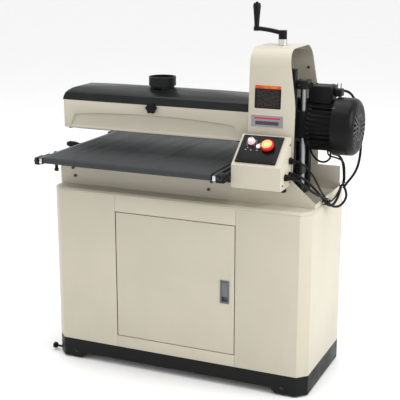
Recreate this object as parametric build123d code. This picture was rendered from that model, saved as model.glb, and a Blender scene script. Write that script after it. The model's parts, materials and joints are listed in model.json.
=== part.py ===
from build123d import *

import math
import os

# Open-ended drum sander on a closed cabinet. Millimetres, +Z up, +X to the motor end,
# -Y to the infeed side. Places are first given from the cabinet's centre line at floor
# level, and the finished machine is moved so that its footprint's centre is the origin.

# --- driving dimensions -----------------------------------------------------------------
stand_width = 1000.0
stand_depth = 435.0
corner_chamfer = 34.0
plinth_height = 78.0
cabinet_top_z = 673.0
sheet = 2.0
seam = 0.6

foot_gap = 6.0
foot_length = 109.0
notch_run = 23.0
notch_rise = 20.0

door_width = 470.0
door_low_z = 122.0
door_high_z = 603.0
door_gap = 3.0
door_return = 16.0
door_pin_r = 2.0

base_half_depth = 150.0
base_half_width = 497.0
base_low_wall = 63.0
base_high_wall = 89.0

belt_width = 654.0
belt_centre_x = -151.0
belt_top_z = 797.0
belt_half_length = 300.0
belt_thickness = 2.0
roller_r = 9.5
roller_axle_r = 5.0
rail_width = 12.0
rail_drop = 14.0

drum_r = 63.5
drum_length = 635.0
wrap_thickness = 1.5
drum_axis_z = 936.0
shaft_r = 15.0
motor_shaft_r = 12.0
pressure_r = 12.5
pressure_y = 88.0
pressure_axle_r = 5.0

hood_half_depth = 112.0
hood_left_x = -502.0
hood_right_x = 240.0
hood_low_z = 878.0
hood_high_z = 981.0
hood_sheet = 3.0
recess_depth = 7.0
lid_rise = 51.0
lid_skin = 3.0
port_x = -143.0
port_r = 50.0
port_wall = 4.0
neck_r = 44.0
neck_bore_r = 40.0
collar_low_z = 1040.0
port_top_z = 1072.0

cover_left_x = 247.0
cover_right_x = 413.0
cover_bottom_half = 150.0
cover_top_half = 128.0
cover_corner_r = 60.0
cover_top_z = 1203.0
cover_sheet = 2.5

screw_x = 318.0
screw_r = 9.0
post_x = 417.0
post_y = -60.0
post_r = 10.3
cheek_inner = 74.0
cheek_thickness = 30.0
column_left_x = 266.0
column_right_x = 400.0
column_top_z = 1134.0

motor_left_x = 430.0
motor_right_x = 530.0
motor_r = 80.0
fin_r = 88.0
fan_cover_r = 99.0
fan_cover_end_x = 600.0
motor_gland_drop = 93.0

box_left_x = 234.0
box_right_x = 408.0
box_front_y = -260.0
box_back_y = -152.0
box_low_z = 748.0
box_lip_z = 828.0
box_slope = 38.5

crank_radius = 96.0
running = 0.05
free_gap = 0.3

pieces = {}


# --- helpers ----------------------------------------------------------------------------
def block(x, y, z):
    """A box given by its low and high value along each axis."""
    middle = Pos((x[0] + x[1]) / 2, (y[0] + y[1]) / 2, (z[0] + z[1]) / 2)
    return middle * Box(x[1] - x[0], y[1] - y[0], z[1] - z[0])


def rod(axis, start, length, radius):
    """A cylinder that starts at a point and runs along +X, +Y or +Z."""
    turn = {"x": Rot(0, 90, 0), "y": Rot(-90, 0, 0), "z": Rot(0, 0, 0)}[axis]
    base = (Align.CENTER, Align.CENTER, Align.MIN)
    return Pos(*start) * turn * Cylinder(radius, length, align=base)


def tube(axis, start, length, outer, inner):
    """A hollow cylinder."""
    return rod(axis, start, length, outer) - rod(axis, start, length, inner)


def prism_x(points, low, high):
    """A polygon of (y, z) points carried from low to high along X."""
    face = Plane.YZ.offset(low) * make_face(Polyline(*points, close=True))
    return extrude(face, high - low)


def prism_y(points, low, high):
    """A polygon of (x, z) points carried from low to high along Y."""
    face = Plane.XZ.offset(-high) * make_face(Polyline(*points, close=True))
    return extrude(face, high - low)


def stand_outline(inset, low, high):
    """The stand's plan, a rectangle with cut corners, as a block of the given height."""
    width = stand_width - 2 * inset
    depth = stand_depth - 2 * inset
    cut = corner_chamfer - inset * (2 - math.sqrt(2))
    plan = chamfer(Rectangle(width, depth).vertices(), cut)
    return Pos(0, 0, low) * extrude(plan, high - low)


def cord(points, radius):
    """A round tube along straight runs joined by tangent arcs."""
    route = [Vector(*p) for p in points]
    radii = []
    for before, here, after in zip(route, route[1:], route[2:]):
        turn = math.radians((here - before).get_angle(after - here))
        run = min((here - before).length, (after - here).length)
        radii.append(0.45 * run / math.tan(turn / 2))
    path = FilletPolyline(*route, radius=radii)
    face = Plane(origin=route[0], z_dir=route[1] - route[0]) * Circle(radius)
    solid = sweep(face, path=path)
    share = solid.volume / (math.pi * radius**2 * path.length)
    print(f"cord {path.length:.0f} mm, volume share {share:.4f}, radii {[round(r) for r in radii]}")
    return solid


# --- stand ------------------------------------------------------------------------------
def build_plinth():
    body = stand_outline(0, foot_gap, plinth_height)
    body -= stand_outline(3, foot_gap, plinth_height - 3)
    half = stand_width / 2
    low, high = foot_gap - 1, foot_gap + notch_rise
    notch = [(-half + foot_length, low), (half - foot_length, low)]
    notch += [(half - foot_length - notch_run, high), (-half + foot_length + notch_run, high)]
    body -= prism_y(notch, -stand_depth, stand_depth)
    for x, y in foot_places():
        plate = block((x - 40, x + 40), (y - 28, y + 28), (30, 33))
        body += plate & stand_outline(1, 0, plinth_height)
        body -= rod("z", (x, y, 0), 60, 5 + free_gap)
    for x in (-half + 86, half - 86):
        body -= rod("y", (x, -stand_depth / 2 - 1, 31), 6, 4)
    body -= rod("x", (-half - 1, knob_y(), 17), 8, 4 + running)
    return body


def foot_places():
    """Centres of the four levelling feet."""
    x, y = stand_width / 2 - 45, stand_depth / 2 - 32
    return [(sx * x, sy * y) for sx in (-1, 1) for sy in (-1, 1)]


def knob_y():
    """The star knob's place, just behind the corner cut."""
    return -stand_depth / 2 + corner_chamfer + 6


def build_feet():
    feet = []
    for x, y in foot_places():
        pad = rod("z", (x, y, 0), foot_gap - 0.5, 20)
        nut = Pos(x, y, foot_gap - 0.5) * extrude(RegularPolygon(9, 6), 7)
        feet.append(pad + nut + rod("z", (x, y, 3), 42, 5))
    return Compound(feet)


def build_star_knob():
    x = -stand_width / 2
    knob = rod("x", (x - 40, knob_y(), 17), 15, 8)
    for k in range(5):
        turn = 2 * math.pi * k / 5
        y, z = knob_y() + 8 * math.cos(turn), 17 + 8 * math.sin(turn)
        knob += rod("x", (x - 39, y, z), 12, 4)
    return knob + rod("x", (x - 26, knob_y(), 17), 40, 4)


def build_cabinet():
    high = cabinet_top_z - 12
    ring = stand_outline(0, plinth_height, high) - stand_outline(sheet, plinth_height, high)
    half, deep = door_width / 2, stand_depth
    edge = half + seam / 2
    tall = (0, cabinet_top_z)
    pieces["cabinet_left"] = ring & block((-stand_width, -edge), (-deep, deep), tall)
    pieces["cabinet_right"] = ring & block((edge, stand_width), (-deep, deep), tall)
    pieces["cabinet_back"] = ring & block((-edge + seam, edge - seam), (0, deep), tall)
    front_y = -stand_depth / 2
    front = ring & block((-edge + seam, edge - seam), (-deep, 0), tall)
    front -= block((-deep, deep), (-deep, 0), (door_low_z, door_high_z))
    jamb_y = (front_y + 23.5, front_y + 25.5)
    inner = edge - seam
    for sign in (-1, 1):
        side = sorted((sign * inner, sign * (inner - 22)))
        front += block(side, jamb_y, (plinth_height, high))
    for z in ((door_low_z - 12, door_low_z), (door_high_z, door_high_z + 12)):
        front += block((-inner, inner), (front_y + sheet, jamb_y[1]), z)
    pieces["cabinet_front"] = front
    top = stand_outline(0, high, cabinet_top_z)
    top = chamfer(top.faces().sort_by(Axis.Z)[-1].edges(), 8)
    pieces["cabinet_top"] = top - stand_outline(14, high - 1, cabinet_top_z - sheet)


def hinge_levels():
    """Heights of the door hinges' middles."""
    return [door_low_z + 75, door_high_z - 75]


def hinge_centre():
    """The door's hinge line in plan."""
    return -door_width / 2 + 13, -stand_depth / 2 + 11.5


def build_door():
    front_y = -stand_depth / 2
    left, right = -door_width / 2 + door_gap, door_width / 2 - door_gap
    low, high = door_low_z + door_gap, door_high_z - door_gap
    pan = block((left, right), (front_y, front_y + door_return), (low, high))
    inside = block((left + sheet, right - sheet), (front_y + sheet, front_y + 99), (low + sheet, high - sheet))
    pan -= inside
    hx, hy = hinge_centre()
    for z in hinge_levels():
        pan -= block((left - 1, hx - 4), (front_y + sheet, hy + 20), (z - 42, z + 42))
    (x0, x1), (z0, z1) = latch_cut()
    return pan - block((x0, x1), (front_y - 1, front_y + 5), (z0, z1))


def build_hinges():
    hx, hy = hinge_centre()
    front_y = -stand_depth / 2
    fixed, moving = [], []
    for z in hinge_levels():
        leaf = block((hx - 1, hx + 1), (hy + 2.5, front_y + 23.5), (z - 10, z + 10))
        knuckle = rod("z", (hx, hy, z - 10), 20, 3.8) + leaf
        knuckle -= rod("z", (hx, hy, z - 11), 22, door_pin_r + running)
        fixed.append(knuckle + block((hx - 5, hx + 12), (front_y + 21.5, front_y + 23.5), (z - 10, z + 10)))
        joined = rod("z", (hx, hy, z - 30), 60, door_pin_r)
        for low in (z - 30, z + 10.5):
            joined += rod("z", (hx, hy, low), 19.5, 3.8)
            joined += block((hx - 1, hx + 1), (front_y + sheet, hy), (low, low + 19.5))
        moving.append(joined)
    pieces["door_hinges"] = Compound(fixed)
    pieces["hinge_pins"] = Compound(moving)


def latch_cut():
    """The latch's opening in the door, as X and Z ranges."""
    right = door_width / 2 - 24
    middle = door_low_z + 234
    return (right - 29, right), (middle - 40, middle + 40)


def build_latch():
    (x0, x1), (z0, z1) = latch_cut()
    front_y = -stand_depth / 2
    cup = block((x0 - 3, x1 + 3), (front_y - 1.5, front_y), (z0 - 3, z1 + 3))
    cup += block((x0, x1), (front_y, front_y + 15), (z0, z1))
    cup -= block((x0 + 2, x1 - 2), (front_y - 2, front_y + 13), (z0 + 2, z1 - 2))
    pivot = (x0 - 1, front_y + 3, z1 - 8)
    cup -= rod("x", pivot, x1 - x0 + 2, 1.5 + running)
    pieces["latch_cup"] = cup
    paddle = block((x0 + 2.5, x1 - 2.5), (front_y - 0.5, front_y + 2), (z0 + 22, z1 - 4))
    paddle += block((x0 + 2.5, x1 - 2.5), (front_y, front_y + 5), (z1 - 10, z1 - 6))
    paddle += rod("x", (x0 + 0.5, *pivot[1:]), x1 - x0 - 1, 1.5)
    pieces["latch_paddle"] = paddle


# --- machine base and conveyor ----------------------------------------------------------
def build_base():
    z0 = cabinet_top_z
    low_wall, high_wall = z0 + base_low_wall, z0 + base_high_wall
    w, d = base_half_width, base_half_depth
    pan = block((-w, w), (-d, d), (z0, high_wall))
    pan -= block((-w + sheet, w - sheet), (-d + sheet, d - sheet), (z0 + sheet, high_wall + 1))
    pan -= block((-w - 1, box_left_x - 4), (-d - 1, d + 1), (low_wall, high_wall + 1))
    pan -= block((w - sheet - 1, w + 1), (-d + sheet, d - sheet), (z0 + 16, high_wall + 1))
    corner = [(box_right_x + 5, high_wall + 1), (w + 2, high_wall + 1), (w + 2, z0 + 16)]
    pan -= prism_y(corner, -d - 1, -d + sheet + 1)
    rail_z = roller_axis()[1] - rail_drop
    left, right = rail_places()
    pan += block((-w + sheet, left[1]), (-60, 60), (z0 + sheet, rail_z))
    pan += block(right, (-60, 60), (z0 + sheet, rail_z))
    for x, z in base_screw_places():
        pan -= rod("y", (x, -d - 1, z), sheet + 2, 3 + running)
    return pan


def base_screw_places():
    """The two pairs of cap screws on the base's front wall."""
    z = cabinet_top_z + 60
    return [(-444, z), (-435, z - 29), (117, z), (106, z - 29)]


def rail_places():
    """X ranges of the conveyor's left and right rails."""
    left = belt_centre_x - belt_width / 2 - 6
    right = belt_centre_x + belt_width / 2 + 6
    return (left - rail_width, left), (right, right + rail_width)


def roller_axis():
    """Distance of the roller axes from the middle, and their height."""
    outer = roller_r + free_gap + belt_thickness
    return belt_half_length - outer, belt_top_z - outer


def build_bed():
    left, right = rail_places()
    y, z = roller_axis()
    top = belt_top_z - belt_thickness - 0.5
    bed = block((left[0], right[1]), (-y + roller_r + 8, y - roller_r - 8), (top - 8, top))
    for rail in (left, right):
        bed += block(rail, (-y - 10, y + 10), (z - rail_drop, top))
        for side in (-y, y):
            bed -= rod("x", (rail[0] - 1, side, z), rail_width + 2, roller_axle_r + 2)
    bed += block((left[1], right[0]), (-30, 30), (z - 8, top - 8))
    bed -= rod("x", (left[0] - 1, bed_knob_y(), z), rail_width - 1, 5 + running)
    bed -= rod("x", (left[0] - 1, lever_y(), z), rail_width - 1, 5 + running)
    return bed


def bed_knob_y():
    """Place of the tracking knob along the left rail."""
    return 5.0


def lever_y():
    """Place of the bed lock lever along the left rail."""
    return -171.0


def build_belt():
    y, z = roller_axis()
    outer = roller_r + free_gap + belt_thickness
    inner = roller_r + free_gap
    low, high = belt_centre_x - belt_width / 2, belt_centre_x + belt_width / 2

    def loop(radius):
        body = block((low, high), (-y, y), (z - radius, z + radius))
        return body + rod("x", (low, -y, z), high - low, radius) + rod("x", (low, y, z), high - low, radius)

    return loop(outer) - loop(inner)


def build_rollers():
    y, z = roller_axis()
    left, right = rail_places()
    low, high = belt_centre_x - belt_width / 2 + 3, belt_centre_x + belt_width / 2 - 3
    for name, side in (("idler_roller", -y), ("drive_roller", y)):
        roller = rod("x", (low, side, z), high - low, roller_r)
        end = right[1] + (16 if side < 0 else 48)
        roller += rod("x", (left[0] - 16, side, z), end - left[0] + 16, roller_axle_r)
        pieces[name] = roller


def build_takeups():
    y, z = roller_axis()
    left, right = rail_places()
    brackets = []
    for x0, x1 in ((left[0] - 20, left[0]), (right[1], right[1] + 30)):
        for side in (-y, y):
            near, far = (side - 10, side + 38) if side < 0 else (side - 38, side + 10)
            body = block((x0, x1), (near, far), (z - 17, z + 9))
            body -= rod("x", (x0 - 1, side, z), 99, roller_axle_r + running)
            if side < 0:
                body -= rod("y", (x0 + 10, side - 11, z), 6, 3 + running)
            brackets.append(body)
    return Compound(brackets)


def build_bolts():
    heads = []
    for x, z in base_screw_places():
        d = base_half_depth
        heads.append(rod("y", (x, -d - 4, z), 4, 5.5) + rod("y", (x, -d - 1, z), 12, 3))
    y, z = roller_axis()
    left, right = rail_places()
    for x in (left[0] - 10, right[1] + 10):
        heads.append(rod("y", (x, -y - 18, z), 8, 6.5) + rod("y", (x, -y - 11, z), 5.5, 3))
    return Compound(heads)


def build_gearmotor():
    y, z = roller_axis()
    x = rail_places()[1][1] + 30
    body = block((x, x + 56), (y - 42, y + 16), (z - 46, z + 11))
    body += rod("z", (x + 28, y - 13, z - 150), 125, 27)
    return body - rod("x", (x - 1, y, z), 24, roller_axle_r + 2)


def build_bed_lever():
    y, z = lever_y(), roller_axis()[1]
    x = rail_places()[0][0]
    lever = rod("x", (x - 12, y, z), 20, 5) + rod("x", (x - 13, y, z), 12.5, 9)
    lever += block((x - 11, x - 3), (y - 5, y + 5), (z - 60, z))
    return lever + rod("x", (x - 13, y, z - 60), 11, 7)


def build_bed_knob():
    y, z = bed_knob_y(), roller_axis()[1]
    x = rail_places()[0][0]
    profile = [(0, 0), (0, 7), (10, 7), (26, 11), (50, 12), (62, 8), (66, 0)]
    face = make_face(Polyline(*[(-a, b) for a, b in profile], close=True))
    grip = revolve(Plane.XY * face, axis=Axis.X)
    return Pos(x - 1, y, z + 1) * grip + rod("x", (x - 6, y, z), 14, 5) + block(
        (x - 7, x - 1.0), (y - 6, y + 6), (z - 6, z + 8)
    )


# --- column and lift --------------------------------------------------------------------
def build_column():
    z0 = cabinet_top_z + sheet
    outer = cheek_inner + cheek_thickness
    body = block((column_left_x, column_right_x), (-outer, outer), (z0, column_top_z))
    body -= block((0, 999), (-cheek_inner, cheek_inner), (z0 + 24, column_top_z - 20))
    plan = make_face(Polyline((345, -cheek_inner), (999, -cheek_inner), (999, 105), (292, 105), (345, -10), close=True))
    body -= Pos(0, 0, 1010) * extrude(plan, 200)
    return body - rod("z", (screw_x, 0, column_top_z - 30), 40, screw_r + running)


def build_screw():
    low = drum_axis_z + 54
    screw = rod("z", (screw_x, 0, low), cover_top_z + 50 - low, screw_r)
    screw += rod("z", (screw_x, 0, column_top_z + 0.3), 12, 15)
    return screw + rod("z", (screw_x, 0, cover_top_z + 1), 20, 15.6)


def build_post():
    return rod("z", (post_x, post_y, 720), 377, post_r)


def build_post_brackets():
    clamps = []
    near, far = motor_left_x - 0.5, post_x + 25
    for low, high, right in ((720, 730, near), (775, 803, near), (1069, 1097, far)):
        body = block((column_right_x, right), (-100, post_y + 17), (low, high))
        body = fillet(body.edges().filter_by(Axis.Z).group_by(Axis.X)[-1], 8)
        clamps.append(body - rod("z", (post_x, post_y, low - 1), 40, post_r))
    for y in (post_y - 22, post_y + 8):
        clamps[2] += rod("x", (post_x + 25, y, 1083), 5, 5)
    return Compound(clamps)


def build_carriage():
    axis = drum_axis_z
    side = cheek_inner - 0.2
    body = block((272, 396), (-side, side), (axis - 56, axis + 39))
    body += block((272, 290), (-30, 30), (axis + 39, axis + 147))
    body += block((329, 341), (-30, 30), (axis + 39, axis + 147))
    body += block((272, 341), (-30, 30), (axis + 119, axis + 147))
    ear = motor_left_x - 0.5
    body += block((396, ear), (-side, post_y + 18), (axis - 36, axis + 54))
    body += block((column_right_x + 0.5, ear), (post_y - 20, post_y + 18), (axis - 36, axis + 54))
    body += rod("x", (396, 0, axis), motor_left_x - 396, 42)
    body -= rod("z", (screw_x, 0, axis + 19), 200, screw_r + running)
    body -= rod("z", (post_x, post_y, axis - 40), 100, post_r + running)
    return body - rod("x", (200, 0, axis), 300, shaft_r + 2)


# --- sanding head -----------------------------------------------------------------------
def build_head():
    axis = drum_axis_z
    left_x, right_x = hood_left_x + 13, 190.0
    low = axis - drum_r - wrap_thickness + 1
    wide = pressure_y + 10
    ends = []
    for x in (left_x, right_x):
        plate = block((x, x + 14), (-wide, wide), (low, low + 26))
        plate += block((x, x + 14), (-60, 60), (low, axis + 79))
        ends.append(plate)
    beam = ends[0] + ends[1] + block((left_x, right_x + 14), (-60, 60), (axis + 67, axis + 79))
    beam += block((right_x + 14, 272), (-44, 44), (axis - 40, axis + 40))
    beam += block((hood_left_x + hood_sheet, left_x), (-30, 30), (axis - 30, axis + 30))
    beam -= rod("x", (hood_left_x + hood_sheet - 1, 0, axis), 20, shaft_r + 3)
    beam -= rod("z", (port_x, 0, axis), 200, port_r - port_wall)
    beam -= rod("x", (right_x - 1, 0, axis), 99, shaft_r + 3)
    for x in (left_x, right_x):
        beam -= rod("x", (x - 1, 0, axis), 16, 26)
        for y in (-pressure_y, pressure_y):
            beam -= rod("x", (x - 1, y, pressure_z()), 16, pressure_axle_r + running)
    nose = [(left_x - 1, axis + 45), (left_x + 35, axis + 81), (left_x - 1, axis + 81)]
    pieces["head_beam"] = beam - prism_y(nose, -61, 61)
    rings = [tube("x", (x, 0, axis), 14, 26, shaft_r + running) for x in (left_x, right_x)]
    pieces["drum_bearings"] = Compound(rings)


def pressure_z():
    """Height of the pressure rollers' axes: their undersides sit just above the drum's."""
    return drum_axis_z - drum_r - wrap_thickness + pressure_r + 0.5


def build_drum():
    axis = drum_axis_z
    low = belt_centre_x - drum_length / 2
    shell = tube("x", (low, 0, axis), drum_length, drum_r, drum_r - 7)
    for x in (low, low + drum_length / 2 - 6, low + drum_length - 12):
        shell += tube("x", (x, 0, axis), 12, drum_r - 5, shaft_r)
    pieces["drum"] = shell
    wrap = tube("x", (low, 0, axis), drum_length, drum_r + wrap_thickness, drum_r)
    pieces["abrasive_wrap"] = wrap
    shaft = rod("x", (hood_left_x + 4, 0, axis), motor_left_x - 4 - hood_left_x, shaft_r)
    shaft += rod("x", (motor_left_x, 0, axis), motor_right_x + 34 - motor_left_x, motor_shaft_r)
    pieces["drum_shaft"] = shaft
    pieces["motor_rotor"] = tube("x", (motor_left_x + 18, 0, axis), 56, 44, motor_shaft_r)


def build_pressure_rollers():
    low, high = belt_centre_x - drum_length / 2 - 4, belt_centre_x + drum_length / 2 + 4
    for name, y in (("pressure_roller_front", -pressure_y), ("pressure_roller_rear", pressure_y)):
        roller = rod("x", (low, y, pressure_z()), high - low, pressure_r)
        start = (hood_left_x + 5, y, pressure_z())
        pieces[name] = roller + rod("x", start, 203 - hood_left_x - 5, pressure_axle_r)


def build_hood():
    x0, x1, d = hood_left_x, hood_right_x, hood_half_depth
    hood = block((x0, x1), (-d, d), (hood_low_z, hood_high_z))
    hood = fillet(hood.edges().filter_by(Axis.Z).group_by(Axis.X)[0], 10)
    t = hood_sheet
    inner = block((x0 + t, x1 - t), (-d + t, d - t), (hood_low_z - 1, hood_high_z + 1))
    hood -= fillet(inner.edges().filter_by(Axis.Z).group_by(Axis.X)[0], 7)
    hood -= block((x1 - 10, x1 + 1), (-46, 46), (hood_low_z - 1, drum_axis_z + 41))
    for side in (-1, 1):
        hood += loft([recess(side * (d - 2), 3), recess(side * (d - recess_depth - t), 3)], ruled=True)
        hood -= loft([recess(side * (d + 1), 1), recess(side * (d - recess_depth), -4)], ruled=True)
    for x in lid_hinge_places():
        lug = block((x - 12, x + 12), (d, d + 10), (hood_high_z - 12, hood_high_z + 3))
        hood += lug + rod("x", (x - 12, d + 6, hood_high_z + 3), 24, 4.5)
        hood -= rod("x", (x - 13, d + 6, hood_high_z + 3), 26, 2 + running)
    return hood - rod("y", (port_x + 12, -d - 1, hood_high_z - 8), 8, 3 + running)


def recess(y, grow):
    """The outline of the panel pressed into the hood's wall, at a depth and grown all round."""
    low, shoulder = hood_low_z + 5 - grow, hood_low_z + 52 + grow
    start, end = hood_left_x + 27 - grow, hood_right_x - 38 + grow
    left, right = start + 23, end - 19
    arch = ThreePointArc((left, shoulder), ((left + right) / 2, shoulder + 14), (right, shoulder))
    sides = Polyline((right, shoulder), (end, low), (start, low), (left, shoulder))
    return Plane.XZ.offset(-y) * make_face(arch + sides)


def lid_hinge_places():
    """Middles of the hood's hinge knuckles along X."""
    return [hood_left_x + 150, hood_right_x - 150]


def lid_form(inset):
    """The lid's outer or inner form: a crowned section cut by a gently arched side view."""
    d, z0, rise = hood_half_depth - inset, hood_high_z, lid_rise - inset
    section = Polyline((-d + 17, z0 + rise - 26), (-d, z0 + 1), (-d, z0), (d, z0), (d, z0 + 1), (d - 17, z0 + rise - 26))
    crown = ThreePointArc((-d + 17, z0 + rise - 26), (0, z0 + rise), (d - 17, z0 + rise - 26))
    x0, x1 = hood_left_x + inset, hood_right_x - inset
    body = extrude(Plane.YZ.offset(x0) * make_face(section + crown), x1 - x0)
    sides = Polyline((x0, z0 + rise - 37), (x0, z0), (x1, z0), (x1, z0 + rise - 12))
    top = ThreePointArc((x0 + 32, z0 + rise - 9), (port_x, z0 + rise), (x1, z0 + rise - 12))
    nose = RadiusArc((x0, z0 + rise - 37), (x0 + 32, z0 + rise - 9), 33)
    view = Plane.XZ.offset(-hood_half_depth - 1) * make_face(sides + nose + top)
    return body & extrude(view, 2 * hood_half_depth + 2)


def build_lid():
    outer = lid_form(0)
    lid = outer - Pos(0, 0, -0.5) * lid_form(lid_skin)
    lid = Pos(0, 0, free_gap) * lid
    lid -= rod("z", (port_x, 0, hood_high_z), 200, neck_bore_r)
    d = hood_half_depth
    for middle in lid_hinge_places():
        for x in (middle - 23, middle + 12.5):
            lid += rod("x", (x, d + 6, hood_high_z + 3), 10.5, 4.5)
            lid += block((x, x + 10.5), (d - 4, d + 6), (hood_high_z + 2, hood_high_z + 7))
        lid += rod("x", (middle - 23, d + 6, hood_high_z + 3), 46, 2)
    pieces["hood_lid"] = lid
    start = (port_x, 0, hood_high_z + lid_rise - 20)
    collar = rod("z", start, port_top_z - start[2], neck_r)
    collar += rod("z", (port_x, 0, collar_low_z), port_top_z - collar_low_z, port_r)
    collar -= rod("z", (port_x, 0, 900), 400, neck_bore_r)
    collar -= rod("z", (port_x, 0, collar_low_z + port_wall), 400, port_r - port_wall)
    pieces["dust_port"] = collar - Pos(0, 0, free_gap) * outer


def build_lid_knob():
    x, y, z = port_x + 12, -hood_half_depth, hood_high_z - 8
    knob = rod("y", (x, y - 16, z), 15, 17)
    for k in range(6):
        turn = math.pi * k / 3
        knob += rod("y", (x + 15 * math.cos(turn), y - 15, z + 15 * math.sin(turn)), 12, 6)
    return knob + rod("y", (x, y - 2, z), 8, 3)


# --- motor ------------------------------------------------------------------------------
def build_motor():
    axis = drum_axis_z
    x0, x1 = motor_left_x, motor_right_x
    body = rod("x", (x0 + 14, 0, axis), x1 - x0 - 14, motor_r)
    fins = 32
    for k in range(fins):
        fin = block((x0 + 16, x1 - 4), (motor_r - 4, fin_r), (-1.6, 1.6))
        body += Pos(0, 0, axis) * Rot(360 * (k + 0.5) / fins, 0, 0) * fin
    body += rod("x", (x0, 0, axis), 16, fin_r)
    for x, y in motor_glands():
        body += rod("z", (x, y, axis - motor_gland_drop), 20, 7.5)
    body -= rod("x", (x0 + 16, 0, axis), 60, 45)
    body -= rod("x", (x0 - 1, 0, axis), 200, motor_shaft_r + running)
    return body


def motor_glands():
    """Places of the three lead entries under the motor."""
    return [(500.0, 30.0), (500.0, 4.0), (482.0, 30.0)]


def build_fan_cover():
    axis = drum_axis_z
    length = fan_cover_end_x - motor_right_x
    shell = rod("x", (motor_right_x, 0, axis), length, fan_cover_r)
    shell = fillet(shell.edges().group_by(Axis.X)[-1], 26)
    inner = rod("x", (motor_right_x - 1, 0, axis), length - 2, fan_cover_r - 3)
    shell -= fillet(inner.edges().group_by(Axis.X)[-1], 24)
    for count, radius, size in ((24, 62, 30), (12, 30, 18)):
        for k in range(count):
            slot = block((fan_cover_end_x - 20, fan_cover_end_x + 1), (radius - size / 2, radius + size / 2), (-3, 3))
            shell -= Pos(0, 0, axis) * Rot(360 * k / count, 0, 0) * slot
    lugs = tube("x", (motor_right_x - 8, 0, axis), 10, fan_cover_r, fin_r + 1)
    return shell + lugs + tube("x", (motor_right_x, 0, axis), 2, fan_cover_r, motor_r - 6)


def build_fan():
    axis, x = drum_axis_z, motor_right_x + 10
    fan = tube("x", (x, 0, axis), 22, 20, motor_shaft_r) + tube("x", (x, 0, axis), 3, 70, motor_shaft_r)
    for k in range(9):
        blade = block((x + 1, x + 22), (18, 70), (-1.5, 1.5))
        fan += Pos(0, 0, axis) * Rot(40 * k, 0, 0) * blade
    return fan


def build_terminal_box():
    body = block((428, 506), (-38, 38), (drum_axis_z + 60, drum_axis_z + 138))
    body = fillet(body.faces().sort_by(Axis.Z)[-1].edges(), 6)
    return body - rod("x", (400, 0, drum_axis_z), 200, fin_r + 0.1)


# --- cover, controls and crank ----------------------------------------------------------
def cover_form(inset, low, high):
    """The column cover's outer or inner form: leaning sides under a round-shouldered top."""
    r = cover_corner_r - inset
    z0, z1 = cabinet_top_z + base_high_wall, cover_top_z - inset
    shoulder = cover_top_z - cover_corner_r
    half, foot = cover_top_half - inset, cover_bottom_half - inset
    flat = half - r
    slant = Polyline((-half, shoulder), (-foot, z0), (foot, z0), (half, shoulder))
    bend = r * math.sqrt(0.5)
    right = ThreePointArc((half, shoulder), (flat + bend, shoulder + bend), (flat, z1))
    left = ThreePointArc((-flat, z1), (-flat - bend, shoulder + bend), (-half, shoulder))
    roof = Line((flat, z1), (-flat, z1))
    face = Plane.YZ.offset(low) * make_face(slant + right + roof + left)
    return extrude(face, high - low)


def build_cover():
    x0, x1, t = cover_left_x, cover_right_x, cover_sheet
    cover = cover_form(0, x0, x1) - cover_form(t, x0 + t, x1 + 1)
    high = cover_top_z + 1
    edge = Spline((x1 + 0.01, 990), (x1 - 8, 1070), (x1 - 27, high), tangents=[(0, 1), (-0.1, 1)])
    rest = Polyline((x1 - 27, high), (x1 + 9, high), (x1 + 9, 990), (x1 + 0.01, 990))
    cover -= extrude(Plane.XZ.offset(-200) * make_face(edge + rest), 400)
    cover -= block((x0 - 1, x0 + t + 1), (-52, 52), (drum_axis_z - 122, drum_axis_z + 74))
    cover -= rod("z", (screw_x, 0, cover_top_z - 20), 40, screw_r + 1.5)
    return cover - rod("y", (374, 100, 1116), 60, 4)


def on_cover(x, z, thickness):
    """A thin plate that lies on the cover's front face."""
    skin = cover_form(-thickness, x[0], x[1]) - cover_form(0, x[0] - 1, x[1] + 1)
    return skin & block(x, (-300, 0), z)


def build_labels():
    """The upright label and, under it, the wide plate."""
    label = on_cover((cover_left_x + 21, cover_left_x + 115), (1002, 1080), 0.5)
    return Compound([label, on_cover((cover_left_x + 10, cover_left_x + 127), (938, 981), 1.2)])


def build_control_box():
    slope = math.tan(math.radians(box_slope))

    def section(inset):
        front, back = box_front_y + inset, box_back_y - inset
        lip = box_lip_z + inset * slope - inset / math.cos(math.radians(box_slope))
        top = lip + (back - front) * slope
        return [(front, box_low_z + inset), (front, lip), (back, top), (back, box_low_z + inset)]

    box = prism_x(section(0), box_left_x, box_right_x)
    box = fillet(box.edges().filter_by(Axis.X).group_by(Axis.Y)[0], 5)
    box -= prism_x(section(sheet), box_left_x + sheet, box_right_x - sheet)
    for y, z in gland_places():
        box -= rod("x", (box_right_x - 5, y, z), 10, 6)
    tilt = panel_frame()
    for x, along, radius in control_places():
        box -= tilt * Pos(x, along, -8) * Cylinder(radius + 2, 30)
    return box


def gland_places():
    """Y and Z of the leads' entries on the control box's right side."""
    return [(-168.0, 836.0), (-214.0, 788.0), (-170.0, 788.0)]


def control_places():
    """Across, up the slope and hole radius of the dial, the stop button and the start button."""
    return [(280, 97, 3), (342, 80, 9), (309, 80, 7.5)]


def panel_frame():
    """A place on the sloped top: X across, Y up the slope, Z out of it."""
    return Pos(0, box_front_y, box_lip_z) * Rot(box_slope, 0, 0)


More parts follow.
